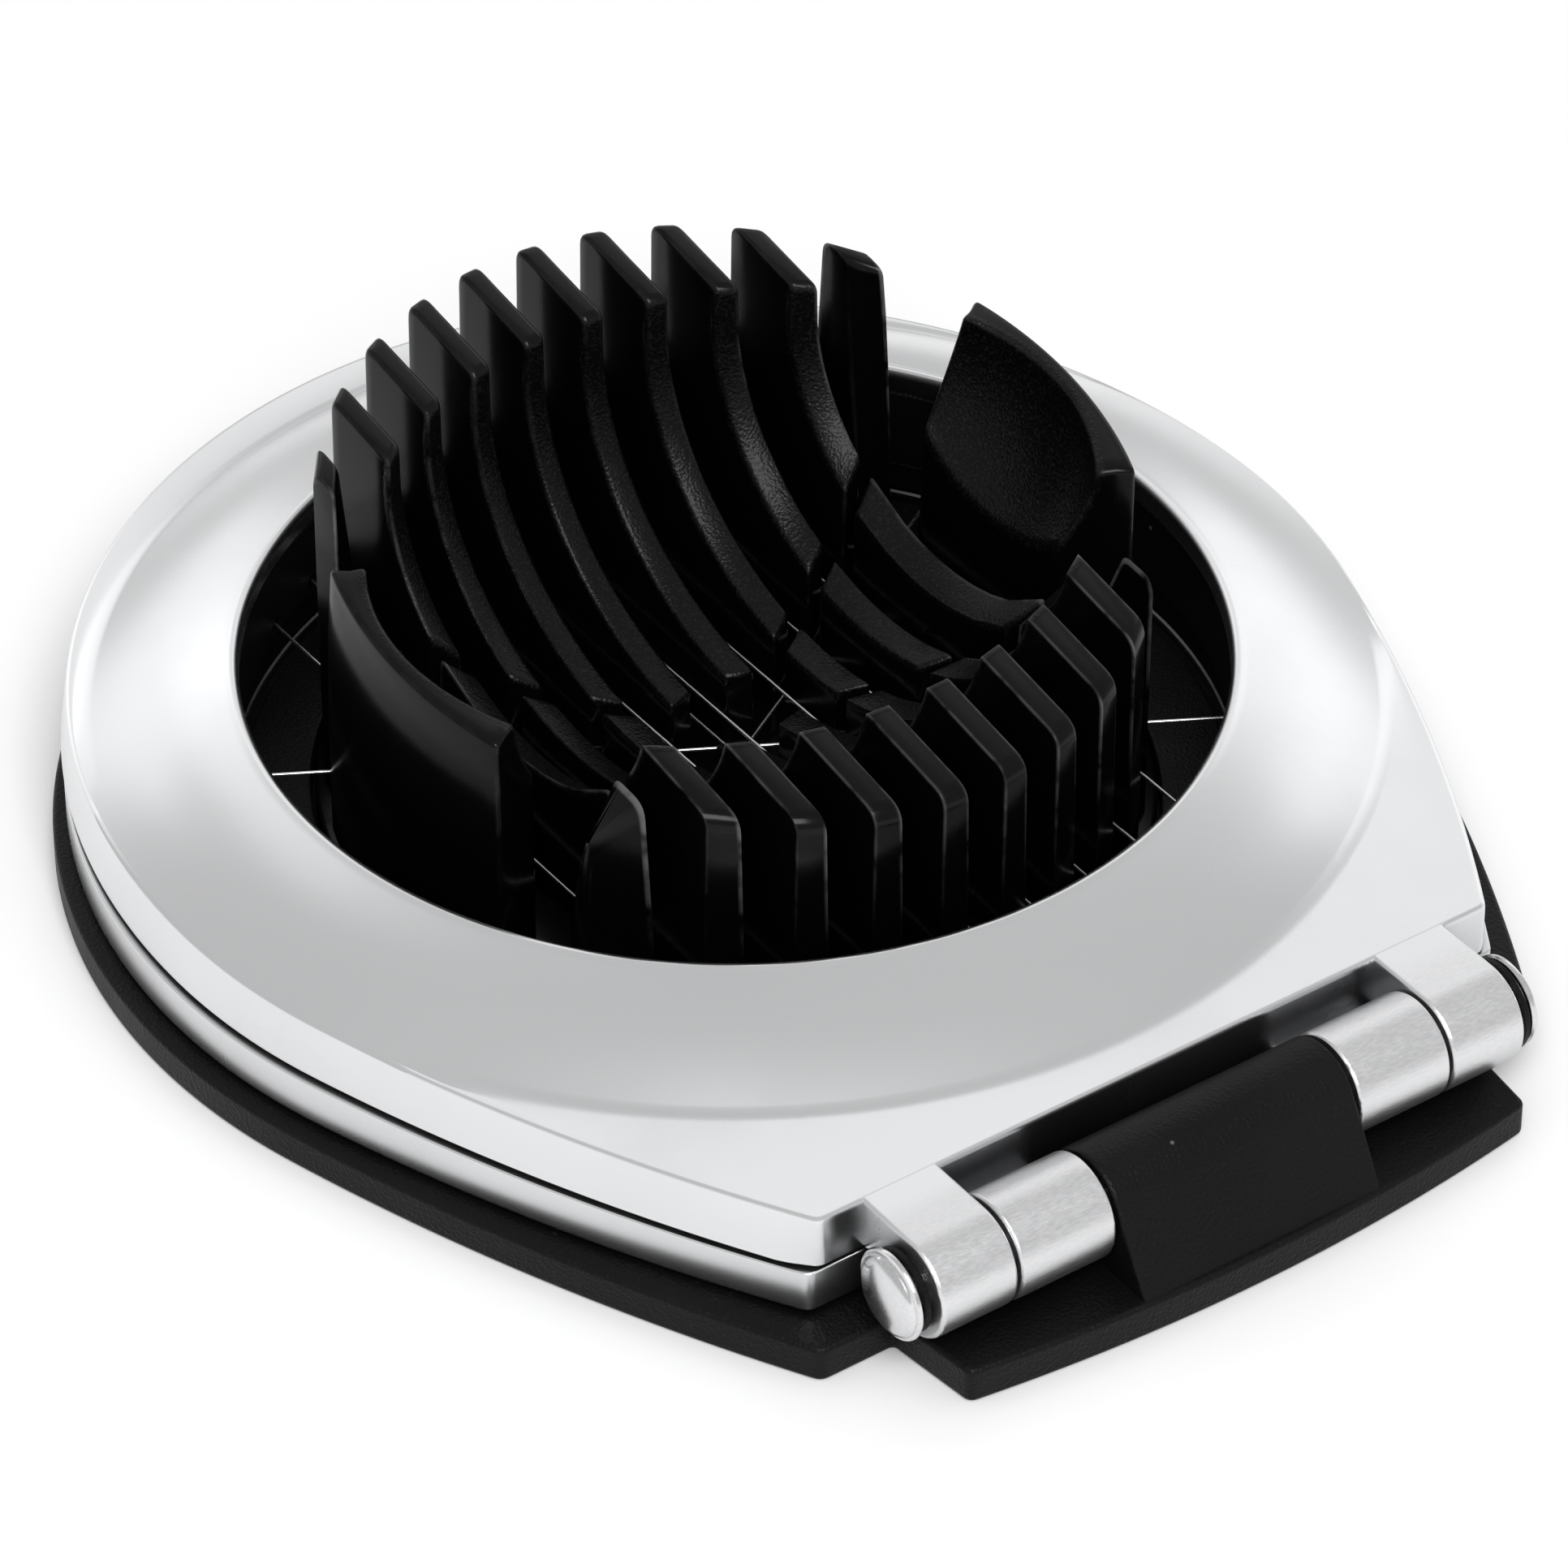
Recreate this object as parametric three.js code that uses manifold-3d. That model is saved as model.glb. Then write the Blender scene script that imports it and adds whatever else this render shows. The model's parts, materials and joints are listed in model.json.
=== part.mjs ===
// Egg slicer with two hinged wire frames: nine parallel wires cut slices, three crossed wires cut wedges.
// Millimetres. +Z is up, +X runs along the hinge pin and +Y points from the hinge to the lifting end.
// The origin is on the underside of the base plate, below the middle of the egg cradle.
import * as THREE from 'three';
import { mergeVertices } from 'three/addons/utils/BufferGeometryUtils.js';
import Module from 'manifold-3d';

const wasm = await Module();
wasm.setup();

// Fits between pieces
const fit = 0.3;
const overlap = 0.5;
const tall = 80;

// The egg's hollow in the cradle, and the cradle around it
const bowlEndReach = 5.469;
const bowlRadiusY = 22.5;
const bowlDepth = 19;
const finReachX = 1.45;
const finReachY = 9.5;
const footLedgeX = 0.6;
const footLedgeY = 1.2;
const footProud = 0.45;
const finHeight = 25.11;
const finTopSlope = 0.169;
const finTopWidth = 1.8;
const finRootWidth = 2.5;
const postRootWidth = 3.7;
const postTopLength = 3;
const endWallInset = 0.2;
const endWallFrontSetback = 5.4;
const endWallRearSetback = 3.8;
const wellRadius = 3.9;
const slotSlack = 0.4;
const slotOverreach = 1.1;

// Cutting wires and the plastic rings that hold them
const wireRadius = 0.2;
const wireSlack = 0.3;
const beadRadius = 0.7;
const beadLength = 0.9;
const sliceWires = 9;
const slicePitch = 5.418;
const sliceWireDrop = 1.3;
const wedgeWires = 3;
const wedgeStep = 0.65;
const wedgeWireDrop = 0.45;
const ringWall = 2;
const ringSeam = 0.1;
const lowerRingSill = 0.4;
const upperRingSill = 0.7;
const ringPocketGap = 2.3;

// Base plate
const baseThickness = 3;
const seatHeight = 0.5;
const seatReach = 0.35;
const recessFloor = 1;
const baseLedge = 1.5;
const baseCornerLedge = 1.4;
const baseFrontLedge = 3.5;
const baseFlankRadius = 190;
const tabRootX = 26.3;
const tabTipX = 25.4;
const tabLedge = 1.75;
const tabBulge = 2;

// Frames, seen from above: a round side, a long gently curved flank and a square front at the hinge
const openingClearance = 4.45;
const rimWidth = 12.25;
const pocketWall = 2.1;
const frontMargin = 3.2;
const flankRadius = 170;
const lowerFloor = 0.7;
const lowerLedge = 1;
const lowerCornerLedge = 0.8;
const lowerGripReach = 1.6;
const upperCornerX = 30.4;
const upperGripReach = 3.7;
const upperDraft = 0.5;
const domeRise = 4.65;
const domeCrown = 0.5;
const domeWall = 1.6;
const domeUnderlap = 2;
const domeSeam = 0.05;
const lipWidth = 1;
const lipDrop = 0.2;
const lipCrown = 0.1;
const lipEdgeDrop = 0.3;
const lipCoreDrop = 0.6;

// Hinge
const knuckleGap = 1.35;
const knuckleLift = 0.35;
const pinRadius = 2;
const baseKnuckleHalf = 10.8;
const baseKnuckleInset = 0.3;
const lowerKnuckleLength = 8.4;
const earLength = 6.7;
const washerThickness = 0.6;
const washerRadius = 3.7;
const headFlangeRadius = 3.9;
const headFlangeThickness = 0.6;
const headDomeRadius = 3.1;
const headDomeHeight = 0.9;
const capSocketDepth = 0.9;

// Sizes seen from above that follow from those
const finCount = sliceWires + 1;
const postX = slicePitch * (finCount - 1) / 2;
const bowlRadiusX = postX + bowlEndReach;
const endWallInnerX = postX - endWallInset;
const finRadiusX = bowlRadiusX + finReachX;
const finRadiusY = bowlRadiusY + finReachY;
const footRadiusX = finRadiusX + footLedgeX;
const footRadiusY = finRadiusY + footLedgeY;
const openingRadius = Math.max(footRadiusX, footRadiusY) + openingClearance;
const seatRadius = openingRadius + seatReach;
const upperSideRadius = openingRadius + rimWidth;
const pocketRadius = upperSideRadius - pocketWall;
const ringOuterRadius = pocketRadius - ringPocketGap;
const lowerSideRadius = upperSideRadius + lowerLedge;
const baseSideRadius = lowerSideRadius + baseLedge;
const lowerCornerX = upperCornerX + lowerCornerLedge;
const baseCornerX = lowerCornerX + baseCornerLedge;
const frontY = -upperSideRadius - frontMargin;
const baseCornerY = frontY - baseFrontLedge;
const lowerKnuckleStart = baseKnuckleHalf + fit;
const earStart = lowerKnuckleStart + lowerKnuckleLength + fit;
const earEnd = earStart + earLength;
const headStart = earEnd + fit + washerThickness + fit;
const wedgeAngles = Array.from({ length: wedgeWires }, (_, i) => Math.PI * (i + 0.5) / wedgeWires);

// Levels that follow from those
const wireRoom = wireRadius + wireSlack;
const footTop = baseThickness + seatHeight + footProud;
const finTopMiddle = footTop + finHeight;
const lowerBottom = baseThickness + fit;
const lowerRingBottom = lowerBottom + lowerFloor + fit;
const wedgeBottomZ = lowerRingBottom + lowerRingSill + wireRoom;
const wedgeMiddleZ = wedgeBottomZ + (wedgeWires - 1) / 2 * wedgeStep;
const lowerTop = wedgeBottomZ + (wedgeWires - 1) * wedgeStep + wedgeWireDrop;
const upperBottom = lowerTop + fit;
const sliceWireZ = upperBottom + sliceWireDrop;
const upperFlangeTop = sliceWireZ + wireRoom + upperRingSill;
const flatTop = upperFlangeTop + fit + domeWall;
const lipTop = flatTop + domeRise;
const lipUnder = lipTop - domeWall - lipDrop;
const knuckleRadius = (flatTop - baseThickness - knuckleLift) / 2;
const hingeZ = flatTop - knuckleRadius;
const hingeY = frontY - knuckleGap - knuckleRadius;
const tabTipY = hingeY - knuckleRadius - tabLedge;
const slotHalfWidth = wireRadius + slotSlack;

// Solids

function solid(geometry) {
  const plain = geometry.clone();
  plain.deleteAttribute('normal');
  plain.deleteAttribute('uv');
  const merged = mergeVertices(plain, 1e-5);
  const vertProperties = new Float32Array(merged.attributes.position.array);
  const triVerts = new Uint32Array(merged.index.array);
  return new wasm.Manifold(new wasm.Mesh({ numProp: 3, vertProperties, triVerts }));
}

function surface(manifold) {
  const mesh = manifold.getMesh();
  const geometry = new THREE.BufferGeometry();
  geometry.setAttribute('position', new THREE.Float32BufferAttribute(mesh.vertProperties, 3));
  geometry.setIndex(Array.from(mesh.triVerts));
  return geometry;
}

function joined(...pieces) {
  return pieces.reduce((whole, piece) => whole.add(piece));
}

function box(x0, x1, y0, y1, z0, z1) {
  const geometry = new THREE.BoxGeometry(x1 - x0, y1 - y0, z1 - z0);
  geometry.translate((x0 + x1) / 2, (y0 + y1) / 2, (z0 + z1) / 2);
  return solid(geometry);
}

// A profile of [radius, height] points turned about Z
function turned(profile, segments = 60) {
  const points = profile.map(([r, z]) => new THREE.Vector2(r, z));
  const geometry = new THREE.LatheGeometry(points, segments);
  geometry.rotateX(Math.PI / 2);
  return solid(geometry);
}

function cylinderZ(radiusX, radiusY, z0, z1, segments = 60) {
  const geometry = new THREE.CylinderGeometry(1, 1, z1 - z0, segments);
  geometry.rotateX(Math.PI / 2);
  geometry.scale(radiusX, radiusY, 1);
  geometry.translate(0, 0, (z0 + z1) / 2);
  return solid(geometry);
}

function cylinderX(radius, x0, x1, segments = 28) {
  const geometry = new THREE.CylinderGeometry(radius, radius, x1 - x0, segments);
  geometry.rotateZ(Math.PI / 2);
  geometry.translate((x0 + x1) / 2, hingeY, hingeZ);
  return solid(geometry);
}

function plate(points, z0, z1) {
  const settings = { depth: z1 - z0, bevelEnabled: false };
  const geometry = new THREE.ExtrudeGeometry(new THREE.Shape(points), settings);
  geometry.translate(0, 0, z0);
  return geometry;
}

// A flat shape drawn in the YZ plane and given thickness along X
function sideways(points, x0, x1) {
  const settings = { depth: x1 - x0, bevelEnabled: false };
  const geometry = new THREE.ExtrudeGeometry(new THREE.Shape(points), settings);
  geometry.applyMatrix4(new THREE.Matrix4().set(0, 0, 1, x0, 1, 0, 0, 0, 0, 1, 0, 0, 0, 0, 0, 1));
  return solid(geometry);
}

// Outlines

// The right half, from the lifting end down to the front corner: side radius with a swollen
// lifting end, then a flank arc that leaves the side smoothly and ends at the corner
function rightHalf(sideRadius, gripReach, flank, cornerX, cornerY) {
  const points = [];
  const centreDistance = flank - sideRadius;
  const cornerReach = Math.hypot(cornerX, cornerY);
  const lever = (flank ** 2 - cornerReach ** 2 - centreDistance ** 2) / (2 * centreDistance * cornerReach);
  const tangentAngle = Math.atan2(-cornerY, cornerX) - Math.acos(lever);
  const endSteps = 16;
  for (let i = 0; i <= endSteps; i += 1) {
    const angle = Math.PI / 2 * (1 - i / endSteps);
    const radius = sideRadius + gripReach * Math.sin(angle) ** 2;
    points.push(new THREE.Vector2(radius * Math.cos(angle), radius * Math.sin(angle)));
  }
  const sideSteps = 4;
  for (let i = 1; i <= sideSteps; i += 1) {
    const angle = -tangentAngle * i / sideSteps;
    points.push(new THREE.Vector2(sideRadius * Math.cos(angle), sideRadius * Math.sin(angle)));
  }
  const centreX = -centreDistance * Math.cos(tangentAngle);
  const centreY = centreDistance * Math.sin(tangentAngle);
  const cornerAngle = Math.atan2(cornerY - centreY, cornerX - centreX);
  const flankSteps = 8;
  for (let i = 1; i <= flankSteps; i += 1) {
    const angle = -tangentAngle + (cornerAngle + tangentAngle) * i / flankSteps;
    points.push(new THREE.Vector2(centreX + flank * Math.cos(angle), centreY + flank * Math.sin(angle)));
  }
  return points;
}

function mirrored(half) {
  const left = half.filter((p) => p.x > 1e-6).map((p) => new THREE.Vector2(-p.x, p.y)).reverse();
  return [...half, ...left].reverse();
}

function frameOutline(sideRadius, gripReach, cornerX) {
  return mirrored(rightHalf(sideRadius, gripReach, flankRadius, cornerX, frontY));
}

// Leans the walls of a plate outwards towards its underside, keeping the square front where it is
function drafted(geometry, z0, z1, grow) {
  const position = geometry.attributes.position;
  for (let i = 0; i < position.count; i += 1) {
    const reach = Math.hypot(position.getX(i), position.getY(i));
    const share = (z1 - position.getZ(i)) / (z1 - z0);
    const scale = 1 + grow * share / reach;
    position.setX(i, position.getX(i) * scale);
    if (position.getY(i) > frontY + fit) {
      position.setY(i, position.getY(i) * scale);
    }
  }
  return geometry;
}

// Base plate: a flat tray with a raised round seat, a recess for the cradle and the middle hinge knuckle

// The tab's front edge, a shallow curve between its two tips
function tabFrontAt(x) {
  return tabTipY - tabBulge * (1 - (x / tabTipX) ** 2);
}

function baseOutline() {
  const half = rightHalf(baseSideRadius, 0, baseFlankRadius, baseCornerX, baseCornerY);
  half.push(new THREE.Vector2(tabRootX, baseCornerY));
  const frontSteps = 8;
  for (let i = 0; i <= frontSteps; i += 1) {
    const x = tabTipX * (1 - i / frontSteps);
    half.push(new THREE.Vector2(x, tabFrontAt(x)));
  }
  return mirrored(half);
}

function baseKnuckle() {
  const footFront = tabFrontAt(baseKnuckleHalf) + baseKnuckleInset;
  const run = hingeY - footFront;
  const drop = hingeZ - baseThickness;
  const reach = Math.hypot(run, drop);
  const touch = Math.PI + Math.atan2(drop, run) - Math.acos(knuckleRadius / reach);
  const bottom = baseThickness - overlap;
  const back = hingeY + knuckleRadius;
  const points = [new THREE.Vector2(back, bottom), new THREE.Vector2(back, hingeZ)];
  const steps = 16;
  for (let i = 1; i <= steps; i += 1) {
    const angle = touch * i / steps;
    const y = hingeY + knuckleRadius * Math.cos(angle);
    points.push(new THREE.Vector2(y, hingeZ + knuckleRadius * Math.sin(angle)));
  }
  points.push(new THREE.Vector2(footFront, baseThickness), new THREE.Vector2(footFront, bottom));
  return sideways(points.reverse(), -baseKnuckleHalf, baseKnuckleHalf);
}

function basePlate() {
  const slab = solid(plate(baseOutline(), 0, baseThickness));
  const seat = cylinderZ(seatRadius, seatRadius, baseThickness - overlap, baseThickness + seatHeight);
  const recess = cylinderZ(footRadiusX + fit, footRadiusY + fit, recessFloor, tall);
  const bore = cylinderX(pinRadius + fit, -baseKnuckleHalf - 1, baseKnuckleHalf + 1);
  return joined(slab, seat, baseKnuckle()).subtract(recess).subtract(bore);
}

// Frames

// Arm and round knuckle of a frame between x0 and x1; the arm spans armLow to armHigh
function knuckle(x0, x1, armLow, armHigh) {
  const barrel = cylinderX(knuckleRadius, x0, x1);
  const arm = box(x0, x1, hingeY, frontY + overlap * 2, armLow, armHigh);
  return barrel.add(arm);
}

function pairOf(make, x0, x1) {
  return make(x0, x1).add(make(-x1, -x0));
}

function lowerFrame() {
  const outline = frameOutline(lowerSideRadius, lowerGripReach, lowerCornerX);
  const slab = solid(plate(outline, lowerBottom, lowerTop));
  const opening = cylinderZ(seatRadius + fit * 2, seatRadius + fit * 2, 0, tall);
  const pocket = cylinderZ(pocketRadius, pocketRadius, lowerBottom + lowerFloor, tall);
  const knuckleEnd = lowerKnuckleStart + lowerKnuckleLength;
  const knuckles = pairOf((a, b) => knuckle(a, b, lowerBottom, lowerTop), lowerKnuckleStart, knuckleEnd);
  const bore = cylinderX(pinRadius + fit, -earEnd, earEnd);
  return joined(slab, knuckles).subtract(opening).subtract(pocket).subtract(bore);
}

// Height of the dome's outer face at a radius between the lip and the frame's side
function domeHeight(radius) {
  const share = (upperSideRadius - radius) / (upperSideRadius - openingRadius - lipWidth);
  return flatTop + domeRise * share + domeCrown * Math.sin(Math.PI * share);
}

function domeProfile() {
  const bottom = flatTop - domeUnderlap;
  const points = [[0, bottom], [upperSideRadius - 1, bottom]];
  const steps = 6;
  const crest = openingRadius + lipWidth;
  for (let i = 0; i <= steps; i += 1) {
    const radius = upperSideRadius + (crest - upperSideRadius) * i / steps;
    points.push([radius - domeSeam * (1 - i / steps), domeHeight(radius)]);
  }
  points.push([openingRadius + lipWidth / 3, lipTop + lipCrown], [openingRadius, lipTop - lipEdgeDrop]);
  points.push([openingRadius - domeUnderlap, lipTop - lipCoreDrop], [0, lipTop - lipCoreDrop]);
  return points;
}

function upperHollow() {
  const outerTop = flatTop - domeWall;
  return turned([
    [0, 0],
    [pocketRadius, 0],
    [pocketRadius, outerTop],
    [openingRadius + ringWall, lipUnder],
    [openingRadius, lipUnder],
    [openingRadius, tall],
    [0, tall],
  ]);
}

function upperFrame() {
  const outline = frameOutline(upperSideRadius, upperGripReach, upperCornerX);
  const slab = solid(drafted(plate(outline, upperBottom, flatTop), upperBottom, flatTop, upperDraft));
  const ears = pairOf((a, b) => knuckle(a, b, upperBottom, flatTop), earStart, earEnd);
  const bore = cylinderX(pinRadius + fit, -earEnd - 1, earEnd + 1);
  return joined(slab, turned(domeProfile()), ears).subtract(upperHollow()).subtract(bore);
}

// Wires and the rings that hold them

function wireSlot(angle, z0, z1) {
  const geometry = new THREE.BoxGeometry(pocketRadius * 2, wireRoom * 2, z1 - z0);
  geometry.translate(0, 0, (z0 + z1) / 2);
  geometry.rotateZ(angle);
  return geometry;
}

function sliceX(index) {
  return (index - (sliceWires - 1) / 2) * slicePitch;
}

function upperRing() {
  const inner = openingRadius + fit;
  const bottom = upperBottom + ringSeam;
  const top = lipUnder - fit;
  const wallOuter = inner + ringWall - fit * 2;
  let ring = turned([
    [inner, bottom],
    [ringOuterRadius, bottom],
    [ringOuterRadius, upperFlangeTop],
    [wallOuter, upperFlangeTop],
    [wallOuter, top],
    [inner, top],
    [inner, bottom],
  ]);
  for (let i = 0; i < sliceWires; i += 1) {
    const slot = wireSlot(Math.PI / 2, 0, sliceWireZ + wireRoom);
    slot.translate(sliceX(i), 0, 0);
    ring = ring.subtract(solid(slot));
  }
  return ring;
}

function wedgeZ(index) {
  return wedgeBottomZ + index * wedgeStep;
}

function lowerRing() {
  const inner = seatRadius + fit * 2;
  const top = lowerTop - ringSeam;
  let ring = turned([
    [inner, lowerRingBottom],
    [ringOuterRadius, lowerRingBottom],
    [ringOuterRadius, top],
    [inner, top],
    [inner, lowerRingBottom],
  ]);
  wedgeAngles.forEach((angle, i) => {
    const slot = wireSlot(angle, wedgeZ(i) - wireRoom, tall);
    ring = ring.subtract(solid(slot));
  });
  return ring;
}

// A straight wire along Z with a swaged bead on each end
function wire(halfSpan) {
  const outer = halfSpan + beadLength;
  const points = [
    [0, -outer], [beadRadius, -outer], [beadRadius, -halfSpan], [wireRadius, -halfSpan],
    [wireRadius, halfSpan], [beadRadius, halfSpan], [beadRadius, outer], [0, outer],
  ];
  return new THREE.LatheGeometry(points.map(([r, y]) => new THREE.Vector2(r, y)), 8);
}

function sliceWire(index) {
  const x = sliceX(index);
  const nearX = Math.abs(x) - beadRadius;
  const halfSpan = Math.sqrt(ringOuterRadius ** 2 - Math.max(nearX, 0) ** 2) + fit;
  const geometry = wire(halfSpan);
  geometry.translate(x, 0, sliceWireZ);
  return geometry;
}

function wedgeWire(index) {
  const geometry = wire(ringOuterRadius + fit);
  geometry.rotateZ(wedgeAngles[index] - Math.PI / 2);
  geometry.translate(0, 0, wedgeZ(index));
  return geometry;
}

// Egg cradle: thin fins cut to the shape of an egg, slotted where the wedge wires swing through

function finX(index) {
  return (index - (finCount - 1) / 2) * slicePitch;
}

function topAt(y) {
  return finTopMiddle + finTopSlope * y;
}

// One fin, thicker at its root than at its top edge
function fin(x, rootWidth) {
  const foot = footTop - overlap;
  const height = topAt(finRadiusY) - foot;
  const slab = new THREE.BoxGeometry(1, finRadiusY * 2, height);
  slab.translate(0, 0, foot + height / 2);
  const position = slab.attributes.position;
  for (let i = 0; i < position.count; i += 1) {
    const share = (position.getZ(i) - foot) / height;
    const width = rootWidth + (finTopWidth - rootWidth) * share;
    position.setX(i, x + position.getX(i) * width);
  }
  return solid(slab);
}

// Everything below the sloping tops of the fins and inside the outline that their ends follow
function finEnvelope() {
  const outline = cylinderZ(finRadiusX, finRadiusY, footTop - overlap, tall);
  const reach = finRadiusY + 1;
  const side = [
    new THREE.Vector2(-reach, 0),
    new THREE.Vector2(reach, 0),
    new THREE.Vector2(reach, topAt(reach)),
    new THREE.Vector2(-reach, topAt(-reach)),
  ];
  return outline.intersect(sideways(side, -reach, reach));
}

// Where along Y an outer wedge wire crosses x once its frame has lifted it to height z
function wirePathY(x, direction, z) {
  const restY = direction * Math.abs(x) * Math.tan(wedgeAngles[0]);
  const radius = Math.hypot(restY - hingeY, wedgeMiddleZ - hingeZ);
  return hingeY + Math.sqrt(radius ** 2 - (z - hingeZ) ** 2);
}

// What is cut from an outermost fin, so that a post stays at each end of it, outside the wires' path
function postTrim(x) {
  const reach = (slotHalfWidth + finTopWidth / 2 * Math.sin(wedgeAngles[0])) / Math.cos(wedgeAngles[0]);
  const finEnd = finRadiusY * Math.sqrt(1 - (x / finRadiusX) ** 2);
  const top = topAt(finEnd) + 1;
  const points = [
    new THREE.Vector2(wirePathY(x, 1, footTop) + reach, footTop),
    new THREE.Vector2(finEnd - postTopLength, top),
  ];
  const steps = 5;
  for (let i = steps; i >= 0; i -= 1) {
    const z = footTop + (top - footTop) * i / steps;
    points.push(new THREE.Vector2(wirePathY(x, -1, z) - reach, z));
  }
  return sideways(points, x - postRootWidth, x + postRootWidth);
}

// Thick wall at one end of the hollow, between the paths of the outer wedge wires
function endWall(side) {
  const foot = footTop - overlap;
  const height = topAt(finRadiusY) - foot;
  const block = new THREE.BoxGeometry(1, 1, height, 1, 1, 5);
  block.translate(0.5, 0.5, foot + height / 2);
  const position = block.attributes.position;
  for (let i = 0; i < position.count; i += 1) {
    const x = endWallInnerX + (finRadiusX + 1 - endWallInnerX) * position.getX(i);
    const front = wirePathY(x, -1, wedgeMiddleZ) + endWallFrontSetback;
    const rear = wirePathY(x, 1, position.getZ(i)) - endWallRearSetback;
    position.setXY(i, x, position.getY(i) < 0.5 ? front : rear);
  }
  const wall = solid(block);
  return side > 0 ? wall : wall.mirror([1, 0, 0]);
}

function bowl() {
  const egg = new THREE.SphereGeometry(1, 40, 24);
  egg.rotateX(Math.PI / 2);
  egg.scale(bowlRadiusX, bowlRadiusY, bowlDepth);
  egg.translate(0, 0, finTopMiddle);
  const mouth = cylinderZ(bowlRadiusX, bowlRadiusY, finTopMiddle, tall, 40);
  return solid(egg).add(mouth);
}

// The space that one wedge wire sweeps as the frame swings up, as a bar bent about the hinge
function sweptSlot(angle, z) {
  const bar = new THREE.BoxGeometry(footRadiusY * 2 * slotOverreach, slotHalfWidth * 2, 1, 4, 1, 8);
  const position = bar.attributes.position;
  const point = new THREE.Vector3();
  const frontReach = finRadiusY * Math.sin(angle);
  const startAngle = -slotHalfWidth / (footRadiusY - hingeY);
  const lift = topAt(-frontReach) + slotHalfWidth * 2 - hingeZ;
  const slotSwing = Math.asin(lift / (-hingeY - frontReach)) - startAngle;
  for (let i = 0; i < position.count; i += 1) {
    const swing = startAngle + (position.getZ(i) + 0.5) * slotSwing;
    point.set(position.getX(i), position.getY(i), 0);
    point.applyAxisAngle(new THREE.Vector3(0, 0, 1), angle);
    point.add(new THREE.Vector3(0, -hingeY, z - hingeZ));
    point.applyAxisAngle(new THREE.Vector3(1, 0, 0), swing);
    position.setXYZ(i, point.x, point.y + hingeY, point.z + hingeZ);
  }
  return solid(bar);
}

function eggCradle() {
  const foot = cylinderZ(footRadiusX, footRadiusY, recessFloor + fit, footTop);
  let fins = endWall(1).add(endWall(-1));
  for (let i = 0; i < finCount; i += 1) {
    const x = finX(i);
    const outermost = i === 0 || i === finCount - 1;
    fins = fins.add(outermost ? fin(x, postRootWidth).subtract(postTrim(x)) : fin(x, finRootWidth));
  }
  fins = fins.intersect(finEnvelope()).subtract(bowl());
  fins = fins.subtract(cylinderZ(wellRadius, wellRadius, footTop, tall, 20));
  wedgeAngles.forEach((angle, i) => {
    fins = fins.subtract(sweptSlot(angle, wedgeZ(i)));
  });
  return foot.add(fins);
}

// Hinge pin, its cap and the washers

function turnedAlongX(profile, segments = 20) {
  const points = profile.map(([r, x]) => new THREE.Vector2(r, x));
  const geometry = new THREE.LatheGeometry(points, segments);
  geometry.rotateZ(-Math.PI / 2);
  geometry.translate(0, hingeY, hingeZ);
  return geometry;
}

// Domed button outside x = start, on the side the head faces
function headProfile(start) {
  const steps = 4;
  const face = start + headFlangeThickness;
  const points = [[headFlangeRadius, start], [headFlangeRadius, face], [headDomeRadius, face]];
  for (let i = 1; i < steps; i += 1) {
    const angle = Math.PI / 2 * i / steps;
    points.push([headDomeRadius * Math.cos(angle), face + headDomeHeight * Math.sin(angle)]);
  }
  points.push([0, face + headDomeHeight]);
  return points;
}

function hingePin() {
  const end = headStart + headFlangeThickness - fit;
  const head = headProfile(headStart).map(([r, x]) => [r, -x]).reverse();
  return turnedAlongX([...head, [pinRadius, -headStart], [pinRadius, end], [0, end]]);
}

function pinCap() {
  const bore = pinRadius + fit;
  const depth = headStart + capSocketDepth;
  return turnedAlongX([[0, depth], [bore, depth], [bore, headStart], ...headProfile(headStart)]);
}

function washer(side) {
  const near = earEnd + fit;
  const far = near + washerThickness;
  const inner = pinRadius + fit;
  const profile = [[inner, near], [washerRadius, near], [washerRadius, far], [inner, far], [inner, near]];
  const along = side > 0 ? profile : profile.map(([r, x]) => [r, -x]).reverse();
  return turnedAlongX(along);
}

// Materials

const materials = {
  polishedMetal: new THREE.MeshStandardMaterial({ color: 0xdcdde0, roughness: 0.18, metalness: 1 }),
  pinMetal: new THREE.MeshStandardMaterial({ color: 0xc4c5c8, roughness: 0.3, metalness: 1 }),
  wireSteel: new THREE.MeshStandardMaterial({ color: 0xd0d1d4, roughness: 0.25, metalness: 1 }),
  glossBlack: new THREE.MeshStandardMaterial({ color: 0x0b0b0c, roughness: 0.28, metalness: 0 }),
  satinBlack: new THREE.MeshStandardMaterial({ color: 0x141415, roughness: 0.5, metalness: 0 }),
};

const group = new THREE.Group();

function place(name, geometry, material) {
  const mesh = new THREE.Mesh(geometry, material);
  mesh.name = name;
  group.add(mesh);
}

place('base_plate', surface(basePlate()), materials.satinBlack);
place('egg_cradle', surface(eggCradle()), materials.glossBlack);
place('lower_frame', surface(lowerFrame()), materials.polishedMetal);
place('upper_frame', surface(upperFrame()), materials.polishedMetal);
place('lower_wire_ring', surface(lowerRing()), materials.satinBlack);
place('upper_wire_ring', surface(upperRing()), materials.satinBlack);
for (let i = 0; i < sliceWires; i += 1) {
  place(`slicing_wire_${i + 1}`, sliceWire(i), materials.wireSteel);
}
for (let i = 0; i < wedgeWires; i += 1) {
  place(`wedge_wire_${i + 1}`, wedgeWire(i), materials.wireSteel);
}
place('hinge_pin', hingePin(), materials.pinMetal);
place('pin_cap', pinCap(), materials.pinMetal);
place('hinge_washer_left', washer(-1), materials.satinBlack);
place('hinge_washer_right', washer(1), materials.satinBlack);

export default group;
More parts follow.
